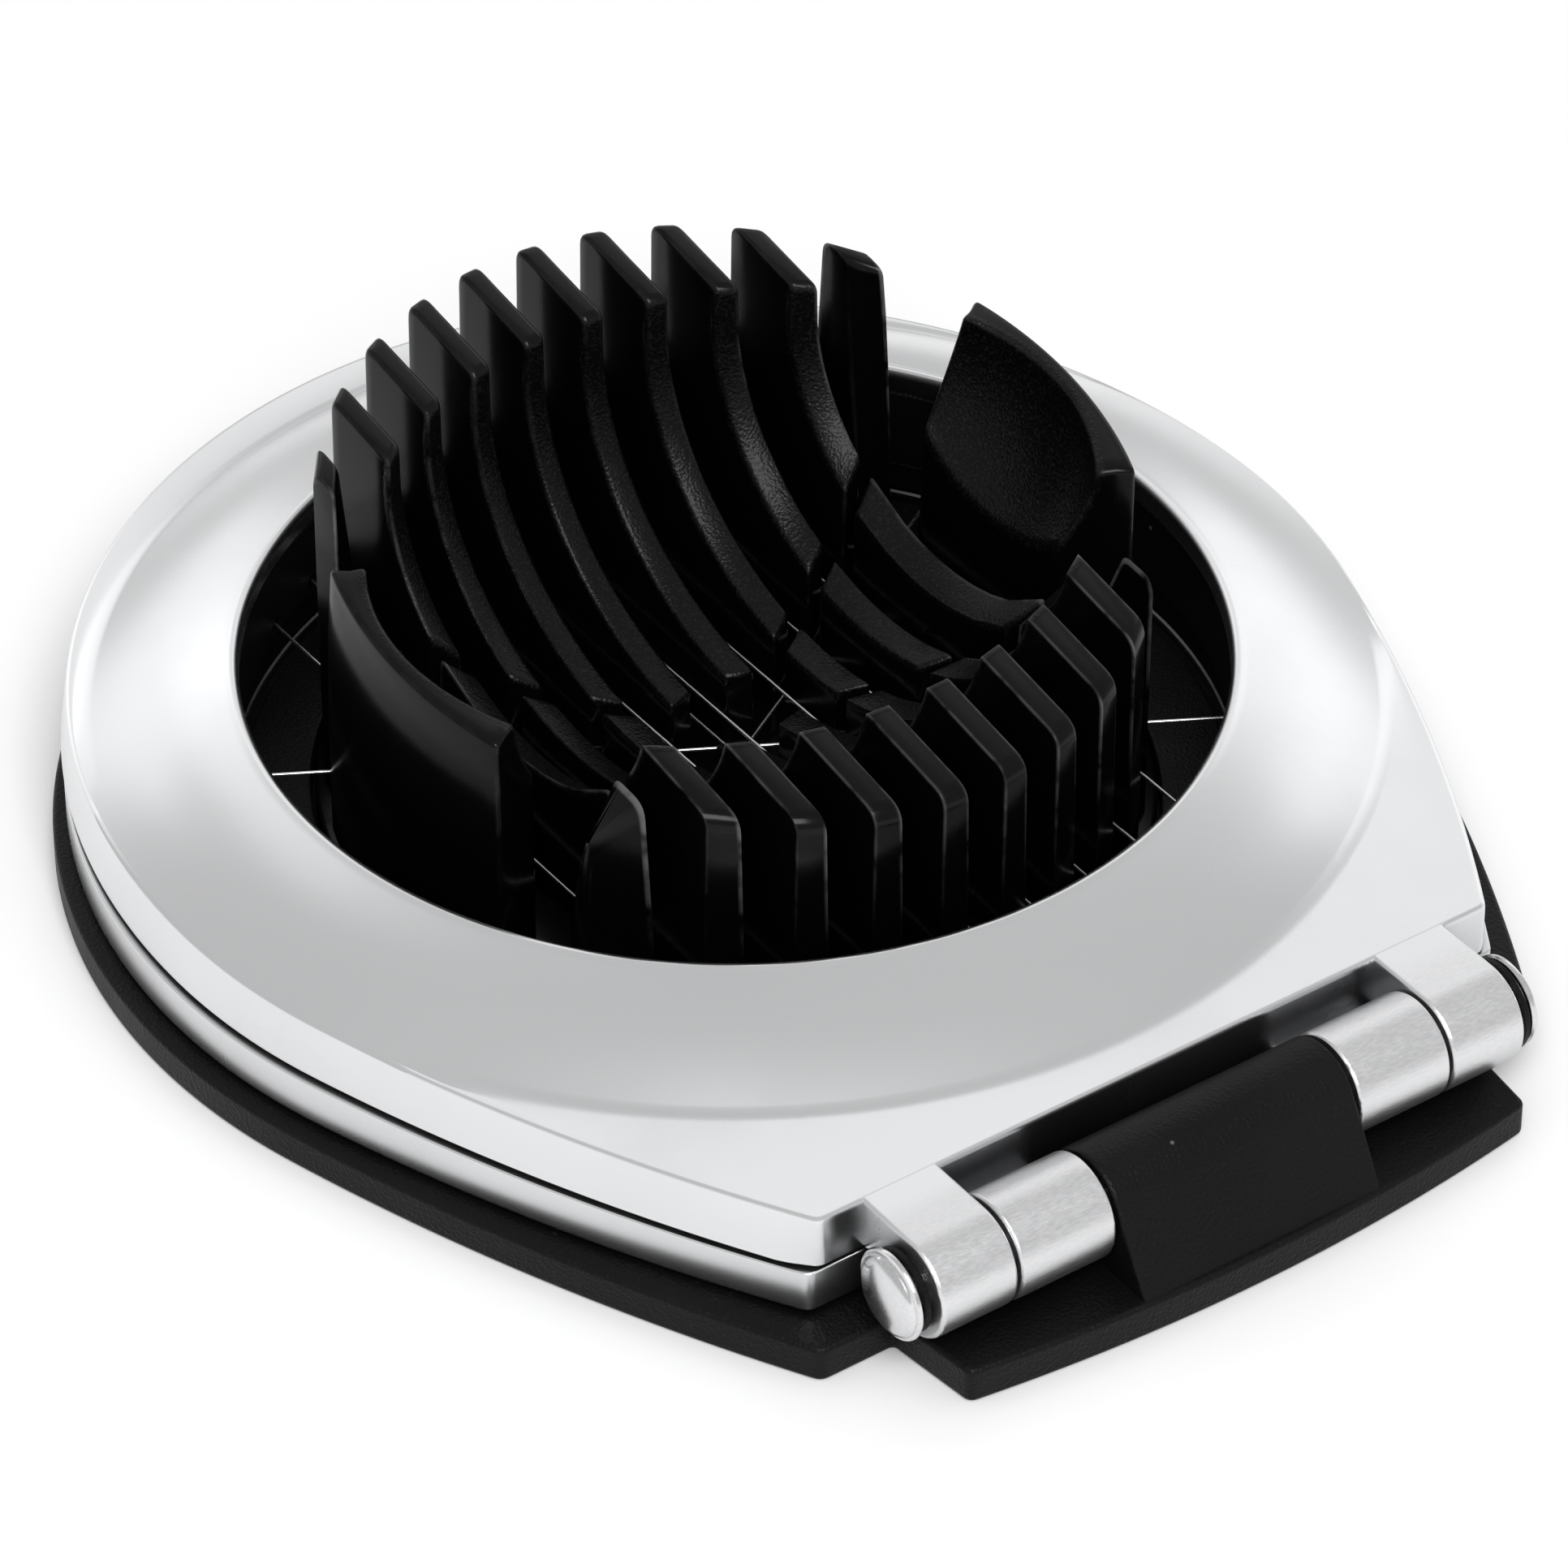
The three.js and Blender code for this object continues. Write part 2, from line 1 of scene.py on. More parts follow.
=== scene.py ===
import json
import math
import bpy
import bmesh
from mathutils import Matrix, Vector


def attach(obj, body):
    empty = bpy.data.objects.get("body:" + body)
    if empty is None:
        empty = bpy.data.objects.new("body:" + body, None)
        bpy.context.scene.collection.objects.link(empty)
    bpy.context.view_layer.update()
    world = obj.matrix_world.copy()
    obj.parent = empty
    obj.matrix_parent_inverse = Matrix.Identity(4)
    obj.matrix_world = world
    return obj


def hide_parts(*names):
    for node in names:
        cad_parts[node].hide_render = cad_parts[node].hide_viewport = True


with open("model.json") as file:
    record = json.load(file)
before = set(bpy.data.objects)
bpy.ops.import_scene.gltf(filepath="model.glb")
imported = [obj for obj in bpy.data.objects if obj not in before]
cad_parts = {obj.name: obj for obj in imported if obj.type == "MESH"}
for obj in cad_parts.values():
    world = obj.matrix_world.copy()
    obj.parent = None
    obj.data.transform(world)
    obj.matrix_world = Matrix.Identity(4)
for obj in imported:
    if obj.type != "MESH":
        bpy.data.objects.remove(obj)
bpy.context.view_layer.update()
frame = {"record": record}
print("frame loaded")

# Lengths below are millimetres; the meshes are scaled to metres when they are made
millimetre = 0.001
hingeY, hingeZ = [v / millimetre for v in frame["record"]["behaviour"]["joints"][0]["pos_m"][1:]]

cameraSettings = {
    "location": (-0.295216, -0.419248, 0.408458), "azimuth": -35.567, "elevation": 38.343,
    "lens": 195.25, "sensor": 36,
}


def placeFacing(thing, place, back):
    # the thing looks the opposite way from back
    thing.location = place
    thing.rotation_mode = "QUATERNION"
    thing.rotation_quaternion = (-Vector(back)).to_track_quat("-Z", "Y")
    bpy.context.collection.objects.link(thing)


def addCamera(s):
    azimuth = math.radians(s["azimuth"])
    elevation = math.radians(s["elevation"])
    flat = math.cos(elevation)
    data = bpy.data.cameras.new("camera")
    data.lens = s["lens"]
    data.sensor_width = s["sensor"]
    data.clip_start = 0.01
    data.clip_end = 20
    camera = bpy.data.objects.new("camera", data)
    placeFacing(camera, s["location"], (math.sin(azimuth) * flat, -math.cos(azimuth) * flat, math.sin(elevation)))
    bpy.context.scene.camera = camera


addCamera(cameraSettings)
print("camera set")


def markSmooth(bm, smoothAngle):
    # edges that turn by less than the angle are shaded smooth
    limit = math.radians(smoothAngle)
    for face in bm.faces:
        face.smooth = True
    for edge in bm.edges:
        edge.smooth = len(edge.link_faces) == 2 and edge.calc_face_angle(0) < limit


def tidyNormals(bm):
    bmesh.ops.recalc_face_normals(bm, faces=bm.faces)


def newObject(name, bm, smoothAngle=32):
    mesh = bpy.data.meshes.new(name)
    bmesh.ops.scale(bm, vec=(millimetre,) * 3, verts=bm.verts)
    tidyNormals(bm)
    bm.normal_update()
    markSmooth(bm, smoothAngle)
    bm.to_mesh(mesh)
    bm.free()
    piece = bpy.data.objects.new(name, mesh)
    bpy.context.collection.objects.link(piece)
    return piece


def addPatch(bm, rings, closeAlong=False):
    # rings of equal length joined by quads; closeAlong joins the last ring to the first
    rows = [[bm.verts.new(p) for p in ring] for ring in rings]
    count = len(rows[0])
    pairs = list(zip(rows, rows[1:]))
    if closeAlong:
        pairs.append((rows[-1], rows[0]))
    for near, far in pairs:
        for i in range(count):
            j = (i + 1) % count
            bm.faces.new((near[i], near[j], far[j], far[i]))
    return rows


def addClosed(bm, rings):
    # rings joined by quads, with a face over each end
    rows = addPatch(bm, rings)
    bm.faces.new(rows[0])
    bm.faces.new(rows[-1][::-1])


def mergePart(bm, part):
    # adds a finished part to a larger mesh
    mesh = bpy.data.meshes.new("part")
    part.to_mesh(mesh)
    part.free()
    bm.from_mesh(mesh)
    bpy.data.meshes.remove(mesh)


def bevelSharp(bm, width, angle, keep):
    # rounds the edges sharper than the angle that keep accepts
    limit = math.radians(angle)
    edges = [e for e in bm.edges if len(e.link_faces) == 2 and e.calc_face_angle(0) > limit and keep(e)]
    bmesh.ops.bevel(bm, geom=edges, offset=width, segments=3, profile=0.5, affect="EDGES", clamp_overlap=True)


def lathe(bm, profile, segments, axis="Z", centre=(0, 0, 0)):
    # profile is [radius, distance along the axis]; radius 0 at an end makes a pole
    def spot(radius, angle, along):
        a, b = radius * math.cos(angle), radius * math.sin(angle)
        return [c + v for c, v in zip(centre, (a, b, along) if axis == "Z" else (along, a, b))]

    closed = profile[0] == profile[-1]
    points = profile[:-1] if closed else profile
    angles = [2 * math.pi * i / segments for i in range(segments)]
    rings = [[spot(radius, angle, along) for angle in angles] for radius, along in points if radius]
    rows = addPatch(bm, rings, closeAlong=closed)
    for index, (radius, along) in enumerate(points):
        if radius == 0:
            row = rows[0] if index == 0 else rows[-1]
            pole = bm.verts.new(spot(0, 0, along))
            for i in range(segments):
                bm.faces.new((row[i], row[(i + 1) % segments], pole))


def turnedPiece(name, profile, segments, axis="Z", centre=(0, 0, 0)):
    bm = bmesh.new()
    lathe(bm, profile, segments, axis, centre)
    return newObject(name, bm)


def turnedOnHinge(name, profile, segments):
    return turnedPiece(name, profile, segments, "X", (0, hingeY, hingeZ))


def arcPoints(centre, radius, start, end, steps):
    angles = [math.radians(start + (end - start) * i / steps) for i in range(steps + 1)]
    return [(centre[0] + radius * math.cos(a), centre[1] + radius * math.sin(a)) for a in angles]


def sidewaysPiece(name, profile, x0, x1, edgeRadius):
    # a closed YZ profile given thickness along X, with rounded end edges
    bm = bmesh.new()
    addClosed(bm, [[(x, y, z) for y, z in profile] for x in (x0, x1)])
    tidyNormals(bm)
    bevelSharp(bm, edgeRadius, 50, lambda e: abs(e.verts[0].co.x - e.verts[1].co.x) < 1e-6)
    return newObject(name, bm)


def skinPiece(name, rings):
    # a body whose rings run round it and back to the first
    bm = bmesh.new()
    addPatch(bm, rings, closeAlong=True)
    return newObject(name, bm)


def combine(piece, other, operation):
    # exact boolean, applied to the mesh
    modifier = piece.modifiers.new("cut", "BOOLEAN")
    modifier.operation = operation
    modifier.solver = "EXACT"
    modifier.object = other
    graph = bpy.context.evaluated_depsgraph_get()
    mesh = bpy.data.meshes.new_from_object(piece.evaluated_get(graph))
    piece.modifiers.clear()
    old = piece.data
    piece.data = mesh
    bpy.data.meshes.remove(old)
    bpy.data.objects.remove(other)


def resmooth(piece):
    # cleans up after the booleans and shades the flat faces flat
    bm = bmesh.new()
    bm.from_mesh(piece.data)
    bmesh.ops.remove_doubles(bm, verts=bm.verts, dist=1e-7)
    bmesh.ops.dissolve_degenerate(bm, dist=1e-7, edges=bm.edges)
    markSmooth(bm, 30)
    bm.to_mesh(piece.data)
    bm.free()
    weighted = piece.modifiers.new("weighted", "WEIGHTED_NORMAL")
    weighted.keep_sharp = True
    weighted.weight = 80


def finishPiece(piece, material, body, node):
    piece.data.materials.clear()
    piece.data.materials.append(material)
    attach(piece, body)
    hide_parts(node)


def setSocket(tree, socket, value):
    if isinstance(value, bpy.types.NodeSocket):
        tree.links.new(value, socket)
    elif value is not None:
        socket.default_value = value


def mathNode(tree, operation, a, b=None):
    node = tree.nodes.new("ShaderNodeMath")
    node.operation = operation
    setSocket(tree, node.inputs[0], a)
    setSocket(tree, node.inputs[1], b)
    return node.outputs[0]


def opposite(tree, value):
    return mathNode(tree, "SUBTRACT", 1.0, value)


def vectorMath(tree, operation, a, b=None):
    node = tree.nodes.new("ShaderNodeVectorMath")
    node.operation = operation
    setSocket(tree, node.inputs[0], a)
    setSocket(tree, node.inputs[1], b)
    return node.outputs["Value" if operation == "LENGTH" else "Vector"]


def axisValue(tree, vector, axis):
    split = tree.nodes.new("ShaderNodeSeparateXYZ")
    tree.links.new(vector, split.inputs[0])
    return split.outputs[axis]


def ramp(tree, value, low, high):
    node = tree.nodes.new("ShaderNodeMapRange")
    node.interpolation_type = "SMOOTHSTEP"
    node.inputs["From Min"].default_value = low
    node.inputs["From Max"].default_value = high
    tree.links.new(value, node.inputs["Value"])
    return node.outputs["Result"]


def noise(tree, vector, scale, detail=3, roughness=0.5, distortion=0):
    node = tree.nodes.new("ShaderNodeTexNoise")
    node.inputs["Detail"].default_value = detail
    node.inputs["Roughness"].default_value = roughness
    node.inputs["Distortion"].default_value = distortion
    setSocket(tree, node.inputs["Scale"], scale)
    tree.links.new(vector, node.inputs["Vector"])
    return node.outputs["Fac"]


def cellTexture(tree, vector, scale):
    node = tree.nodes.new("ShaderNodeTexVoronoi")
    setSocket(tree, node.inputs["Scale"], scale)
    tree.links.new(vector, node.inputs["Vector"])
    return node


def newGroup(name, inputs, outputs):
    # each shader group is built once and placed in the materials with their own values
    group = bpy.data.node_groups.new(name, "ShaderNodeTree")
    for label, default in inputs.items():
        kind = "NodeSocketFloat" if isinstance(default, float) else "NodeSocketVector"
        group.interface.new_socket(name=label, in_out="INPUT", socket_type=kind).default_value = default
    for label in outputs:
        group.interface.new_socket(name=label, in_out="OUTPUT", socket_type="NodeSocketFloat")
    return group, group.nodes.new("NodeGroupInput").outputs, group.nodes.new("NodeGroupOutput").inputs


def makeMouldedGrain():
    # fine spark-eroded grain, its strength set by a mask, with a slow unevenness under it
    inputs = {"Vector": (0, 0, 0), "Grain Scale": 3000.0, "Grain Mask": 1.0}
    group, given, out = newGroup("mouldedGrain", inputs, ["Height", "Speckle", "Waver"])
    cells = cellTexture(group, given["Vector"], given["Grain Scale"])
    cells.feature = "SMOOTH_F1"
    cells.inputs["Smoothness"].default_value = 0.6
    fine = noise(group, given["Vector"], given["Grain Scale"], 2)
    mixed = mathNode(group, "ADD", cells.outputs["Distance"], fine)
    group.links.new(mathNode(group, "MULTIPLY", mixed, given["Grain Mask"]), out["Height"])
    group.links.new(ramp(group, fine, 0.5, 0.68), out["Speckle"])
    group.links.new(noise(group, given["Vector"], 90), out["Waver"])
    return group


def makeBrushing():
    # short streaks along one axis, for satin metal
    inputs = {"Vector": (0, 0, 0), "Stretch": (1, 12, 12), "Streak Scale": 600.0}
    group, given, out = newGroup("brushing", inputs, ["Height", "Shade"])
    scaled = vectorMath(group, "MULTIPLY", given["Vector"], given["Stretch"])
    streak = noise(group, scaled, given["Streak Scale"], 4, 0.65)
    group.links.new(streak, out["Height"])
    group.links.new(ramp(group, streak, 0.3, 0.7), out["Shade"])
    return group


def makeHandling():
    # faint smudges, hair scratches and dust that a handled surface picks up
    inputs = {"Vector": (0, 0, 0), "Smudge Scale": 45.0}
    group, given, out = newGroup("handling", inputs, ["Smudge", "Scratch", "Dust"])
    place = given["Vector"]
    group.links.new(ramp(group, noise(group, place, given["Smudge Scale"], 4), 0.42, 0.7), out["Smudge"])
    wave = noise(group, place, 260, 1, distortion=1.6)
    line = mathNode(group, "ABSOLUTE", mathNode(group, "SUBTRACT", wave, 0.5))
    thin = opposite(group, ramp(group, line, 0, 0.004))
    chance = ramp(group, noise(group, place, 70, 0), 0.56, 0.7)
    group.links.new(mathNode(group, "MULTIPLY", thin, chance), out["Scratch"])
    specks = cellTexture(group, place, 420).outputs["Distance"]
    dot = opposite(group, ramp(group, specks, 0.05, 0.11))
    rare = ramp(group, noise(group, place, 240, 0), 0.66, 0.7)
    group.links.new(mathNode(group, "MULTIPLY", dot, rare), out["Dust"])
    return group


def makeEdgeGlint():
    # painted highlight: a mask of the outward edges, found from how near the other faces are on the inside, where a
    # lighter colour stands for a glint
    group, given, out = newGroup("paintedEdgeGlint", {"Vector": (0, 0, 0), "Reach": 0.0005}, ["Edge"])
    near = group.nodes.new("ShaderNodeAmbientOcclusion")
    near.inside = True
    near.only_local = True
    near.samples = 5
    group.links.new(given["Reach"], near.inputs["Distance"])
    wornAndGlint = ramp(group, near.outputs["AO"], 0.92, 0.45)
    broken = ramp(group, noise(group, given["Vector"], 420, 2), 0.32, 0.62)
    group.links.new(mathNode(group, "MULTIPLY", wornAndGlint, broken), out["Edge"])
    return group


def makePaintedShade():
    # how open a surface is to the room, for painted shade: hidden walls and corners get a duller grey colour
    group, given, out = newGroup("paintedShade", {"Reach": 0.03}, ["Open"])
    near = group.nodes.new("ShaderNodeAmbientOcclusion")
    near.samples = 4
    group.links.new(given["Reach"], near.inputs["Distance"])
    group.links.new(ramp(group, near.outputs["AO"], 0.1, 0.95), out["Open"])
    return group


paintedShade = makePaintedShade()
mouldedGrain = makeMouldedGrain()
paintedEdgeGlint = makeEdgeGlint()
brushing = makeBrushing()
handling = makeHandling()


def useGroup(tree, group, values):
    node = tree.nodes.new("ShaderNodeGroup")
    node.node_tree = group
    for label, value in values.items():
        setSocket(tree, node.inputs[label], value)
    return node.outputs


def layStreaks(tree, place, look):
    values = {"Vector": place, "Stretch": look["stretch"], "Streak Scale": look["streakScale"]}
    return useGroup(tree, brushing, values)


def mixNode(tree, kind, factor, ends, firstInput, output):
    node = tree.nodes.new("ShaderNodeMix")
    node.data_type = kind
    tree.links.new(factor, node.inputs["Factor"])
    for index, value in enumerate(ends):
        setSocket(tree, node.inputs[firstInput + index], value)
    return node.outputs[output]


def mixColour(tree, factor, a, b):
    ends = [v if isinstance(v, bpy.types.NodeSocket) else (*v, 1) for v in (a, b)]
    return mixNode(tree, "RGBA", factor, ends, 6, 2)


def mixValue(tree, factor, a, b):
    return mixNode(tree, "FLOAT", factor, (a, b), 2, 0)


def newMaterial(name):
    material = bpy.data.materials.new(name)
    material.use_nodes = True
    tree = material.node_tree
    shader = next(n for n in tree.nodes if n.type == "BSDF_PRINCIPLED")
    place = tree.nodes.new("ShaderNodeTexCoord").outputs["Object"]
    return material, tree, shader.inputs, place


def addBump(tree, surface, height, strength, distance):
    bump = tree.nodes.new("ShaderNodeBump")
    bump.inputs["Strength"].default_value = strength
    bump.inputs["Distance"].default_value = distance
    tree.links.new(height, bump.inputs["Height"])
    tree.links.new(bump.outputs["Normal"], surface["Normal"])


polishedLook = {
    "bright": (0.82, 0.825, 0.835), "wornAndGlint": (0.79, 0.795, 0.805), "roughness": 0.25, "smudgeRoughness": 0.29,
    "satinDark": (0.76, 0.765, 0.775), "satinPale": (0.86, 0.86, 0.87), "satinRoughness": (0.3, 0.39),
    "satinFrom": hingeY + 4.6, "satinTo": hingeY + 1.5, "satinStrength": 0.35, "satinDepth": 0.00005,
    # the darker grey below is painted shade for hidden walls and corners
    "paintedShadeGrey": (0.46, 0.463, 0.47), "paintedShadeReach": 0.03, "stretch": (1, 5, 5), "streakScale": 1600.0,
}


def makePolishedMetal(look):
    # polished casting whose hinge barrels are left satin
    material, tree, surface, place = newMaterial("polishedCasting")
    smudge = useGroup(tree, handling, {"Vector": place})["Smudge"]
    lines = layStreaks(tree, place, look)
    satinFrom, satinTo = look["satinFrom"] * millimetre, look["satinTo"] * millimetre
    satin = ramp(tree, axisValue(tree, place, "Y"), satinFrom, satinTo)
    smooth = mixValue(tree, smudge, look["roughness"], look["smudgeRoughness"])
    rubbedAndGlint = mixValue(tree, lines["Shade"], *look["satinRoughness"])
    tree.links.new(mixValue(tree, satin, smooth, rubbedAndGlint), surface["Roughness"])
    tint = mixColour(tree, smudge, look["bright"], look["wornAndGlint"])
    grey = mixColour(tree, lines["Shade"], look["satinDark"], look["satinPale"])
    # painted shade: where the surface is hidden from the room the colour turns to the darker grey
    openness = useGroup(tree, paintedShade, {"Reach": look["paintedShadeReach"]})["Open"]
    finish = mixColour(tree, satin, tint, grey)
    tree.links.new(mixColour(tree, openness, look["paintedShadeGrey"], finish), surface["Base Color"])
    surface["Metallic"].default_value = 1
    height = mathNode(tree, "MULTIPLY", lines["Height"], satin)
    addBump(tree, surface, height, look["satinStrength"], look["satinDepth"])
    return material


pinLook = {
    "stretch": (1, 3, 3), "streakScale": 1500.0, "roughness": (0.2, 0.26),
    "dark": (0.68, 0.685, 0.695), "pale": (0.76, 0.76, 0.77), "lineStrength": 0.2, "lineDepth": 0.00002,
}

wireLook = {
    "stretch": (10, 1, 10), "streakScale": 1200.0, "roughness": (0.22, 0.34),
    "dark": (0.62, 0.62, 0.625), "pale": (0.8, 0.8, 0.805), "lineStrength": 0,
}


def makeSteel(name, look):
    # turned or drawn steel with fine lines along it
    material, tree, surface, place = newMaterial(name)
    lines = layStreaks(tree, place, look)
    tree.links.new(mixValue(tree, lines["Shade"], *look["roughness"]), surface["Roughness"])
    tree.links.new(mixColour(tree, lines["Shade"], look["dark"], look["pale"]), surface["Base Color"])
    surface["Metallic"].default_value = 1
    if look["lineStrength"] > 0:
        addBump(tree, surface, lines["Height"], look["lineStrength"], look["lineDepth"])
    return material


cradleLook = {
    "colour": (0.0012, 0.0012, 0.0013), "speck": (0.007, 0.007, 0.0072), "specular": 0.17,
    "roughness": 0.17, "smudgeRoughness": 0.23, "smudgeScale": 60.0,
    "grainRoughness": 0.3, "grainScale": 4200.0, "grainStrength": 0.6, "grainDepth": 0.00005,
    "grainElsewhere": 0.06, "hollowFeather": (0.012, 0.03),
    # edge is a painted highlight colour on the outward edges, faded in between the heights edgeFrom and edgeTo
    "edge": (0.1, 0.1, 0.102), "edgeReach": 0.00032, "edgeFrom": 11, "edgeTo": 24,
}


def makeGlossBlack(look, hollow):
    # gloss moulding; the egg-shaped hollow keeps the mould's spark-eroded grain, and the upper outward edges get a
    # painted highlight
    material, tree, surface, place = newMaterial("glossBlackMoulding")
    inside = vectorMath(tree, "SUBTRACT", place, (0, 0, hollow["topMiddle"] * millimetre))
    radii = [hollow[k] * millimetre for k in ("bowlRadiusX", "bowlRadiusY", "bowlDepth")]
    reach = vectorMath(tree, "LENGTH", vectorMath(tree, "DIVIDE", inside, radii))
    off = mathNode(tree, "ABSOLUTE", mathNode(tree, "SUBTRACT", reach, 1.0))
    onHollow = opposite(tree, ramp(tree, off, *look["hollowFeather"]))
    elsewhere = look["grainElsewhere"]
    mask = mathNode(tree, "ADD", mathNode(tree, "MULTIPLY", onHollow, 1 - elsewhere), elsewhere)
    grain = useGroup(tree, mouldedGrain, {"Vector": place, "Grain Scale": look["grainScale"], "Grain Mask": mask})
    smudge = useGroup(tree, handling, {"Vector": place, "Smudge Scale": look["smudgeScale"]})["Smudge"]
    speckle = mathNode(tree, "MULTIPLY", grain["Speckle"], onHollow)
    # painted highlight: the upper outward edges are mixed towards the lighter edge colour
    wornAndGlint = useGroup(tree, paintedEdgeGlint, {"Vector": place, "Reach": look["edgeReach"]})["Edge"]
    raised = ramp(tree, axisValue(tree, place, "Z"), look["edgeFrom"] * millimetre, look["edgeTo"] * millimetre)
    rubbedAndGlint = mathNode(tree, "MULTIPLY", wornAndGlint, raised)
    tone = mixColour(tree, speckle, look["colour"], look["speck"])
    tree.links.new(mixColour(tree, rubbedAndGlint, tone, look["edge"]), surface["Base Color"])
    plain = mixValue(tree, smudge, look["roughness"], look["smudgeRoughness"])
    tree.links.new(mixValue(tree, onHollow, plain, look["grainRoughness"]), surface["Roughness"])
    surface["Specular IOR Level"].default_value = look["specular"]
    addBump(tree, surface, grain["Height"], look["grainStrength"], look["grainDepth"])
    return material


baseLook = {
    "colour": (0.002, 0.002, 0.0021), "pale": (0.005, 0.005, 0.0052), "specular": 0.14,
    "scratch": (0.03, 0.03, 0.03), "scratchShare": 0.5, "dust": (0.2, 0.2, 0.21), "dustShare": 0.6,
    "roughness": 0.4, "smudgeRoughness": 0.54, "smudgeScale": 35.0,
    "grainScale": 3600.0, "grainStrength": 0.8, "grainDepth": 0.00005,
}


def makeSatinBlack(look):
    # satin moulding with a little dust and a few hair scratches
    material, tree, surface, place = newMaterial("satinBlackMoulding")
    grain = useGroup(tree, mouldedGrain, {"Vector": place, "Grain Scale": look["grainScale"], "Grain Mask": 1.0})
    marks = useGroup(tree, handling, {"Vector": place, "Smudge Scale": look["smudgeScale"]})
    tone = mixColour(tree, grain["Waver"], look["colour"], look["pale"])
    scratched = mathNode(tree, "MULTIPLY", marks["Scratch"], look["scratchShare"])
    dusty = mathNode(tree, "MULTIPLY", marks["Dust"], look["dustShare"])
    rubbedAndGlint = mixColour(tree, scratched, tone, look["scratch"])
    tree.links.new(mixColour(tree, dusty, rubbedAndGlint, look["dust"]), surface["Base Color"])
    roughness = mixValue(tree, marks["Smudge"], look["roughness"], look["smudgeRoughness"])
    tree.links.new(roughness, surface["Roughness"])
    surface["Specular IOR Level"].default_value = look["specular"]
    addBump(tree, surface, grain["Height"], look["grainStrength"], look["grainDepth"])
    return material


# The hollow's sizes also place its grain, and the foot's give the recess in the base
cradle = {
    "bowlRadiusX": 29.85, "bowlRadiusY": 22.5, "bowlDepth": 19,
    "outlineX": 31.3, "outlineY": 32, "footX": 31.9, "footY": 33.2, "footEdge": 0.35, "rootDepth": 0.5,
    "footBottom": 1.3, "footTop": 3.95, "topMiddle": 29.06, "topSlope": 0.169,
    "fins": 10, "pitch": 5.418, "topWidth": 1.8, "rootWidth": 2.5, "postRootWidth": 3.7,
    "wellRadius": 3.9, "slotHalfWidth": 0.6, "postTopLength": 3, "postTopShare": 0.7,
    "wallInset": 0.2, "wallFrontSetback": 5.4, "wallRearSetback": 3.8,
    "wireAngle": 30, "wireZ": 5.85, "edgeRadius": 0.42, "wallEdgeRadius": 0.7, "wallEndShare": 0.08,
    "rimRadius": 0.8, "tipRadius": 1.4,
}

polishedMetal = makePolishedMetal(polishedLook)
pinMetal = makeSteel("pinSteel", pinLook)
wireSteel = makeSteel("drawnWire", wireLook)
glossBlack = makeGlossBlack(cradleLook, cradle)
satinBlack = makeSatinBlack(baseLook)
print("materials made")


def rightHalf(sideRadius, gripReach, flank, cornerX, cornerY):
    # lifting end, round side and gently curved flank, down to the front corner
    centreDistance = flank - sideRadius
    cornerReach = math.hypot(cornerX, cornerY)
    lever = (flank ** 2 - cornerReach ** 2 - centreDistance ** 2) / (2 * centreDistance * cornerReach)
    tangentAngle = math.atan2(-cornerY, cornerX) - math.acos(lever)
    points = []
    endSteps = 72
    for i in range(endSteps + 1):
        angle = math.pi / 2 * (1 - i / endSteps)
        radius = sideRadius + gripReach * math.sin(angle) ** 2
        points.append((radius * math.cos(angle), radius * math.sin(angle)))
    centreX = -centreDistance * math.cos(tangentAngle)
    centreY = centreDistance * math.sin(tangentAngle)
    turn = -math.degrees(tangentAngle)
    cornerAngle = math.degrees(math.atan2(cornerY - centreY, cornerX - centreX))
    points += arcPoints((0, 0), sideRadius, 0, turn, 12)[1:]
    return points + arcPoints((centreX, centreY), flank, turn, cornerAngle, 40)[1:]


def curveShares(steps):
    # weights of the three points that steer a curve, at each step along it
    return [((1 - i / steps) ** 2, 2 * i / steps * (1 - i / steps), (i / steps) ** 2) for i in range(steps + 1)]


def roundCorner(before, corner, after, radius, steps=5):
    pivot = Vector(corner)
    start = pivot + (Vector(before) - pivot).normalized() * radius
    end = pivot + (Vector(after) - pivot).normalized() * radius
    return [tuple(start * a + pivot * b + end * c) for a, b, c in curveShares(steps)]


def pointsBetween(start, end, steps):
    # the points strictly between two ends of a straight line
    return [tuple(a + (b - a) * i / steps for a, b in zip(start, end)) for i in range(1, steps)]


def mirrorHalf(half):
    return half + [(-x, y) for x, y in half if x > 1e-6][::-1]


def frameOutline(s, cornerRadius=0.6):
    half = rightHalf(s["sideRadius"], s["gripReach"], s["flank"], s["cornerX"], s["frontY"])
    corner = half.pop()
    half += roundCorner(half[-1], corner, (0, s["frontY"]), cornerRadius)
    startX = half[-1][0]
    frontSteps = 30
    half += [(startX * (1 - i / frontSteps), s["frontY"]) for i in range(1, frontSteps + 1)]
    return mirrorHalf(half)


def inset(outline, distance):
    # the outlines run clockwise, so inwards is to the right of the way they run
    moved = []
    for i, (x, y) in enumerate(outline):
        along = (Vector(outline[(i + 1) % len(outline)]) - Vector(outline[i - 1])).normalized()
        moved.append((x + along.y * distance, y - along.x * distance))
    return moved


def levelRing(outline, z):
    return [(x, y, z) for x, y in outline]


def ellipseRing(outline, radiusX, radiusY, z):
    ring = []
    for x, y in outline:
        reach = math.hypot(x / radiusX, y / radiusY)
        ring.append((x / reach, y / reach, z))
    return ring


def circleRings(outline, profile):
    # one circle for each [radius, height], its points on the same spokes as the outline's
    return [ellipseRing(outline, radius, radius, z) for radius, z in profile]


quarterRound = [(1, 0), (0.62, 0.08), (0.3, 0.3), (0.08, 0.62), (0, 1)]


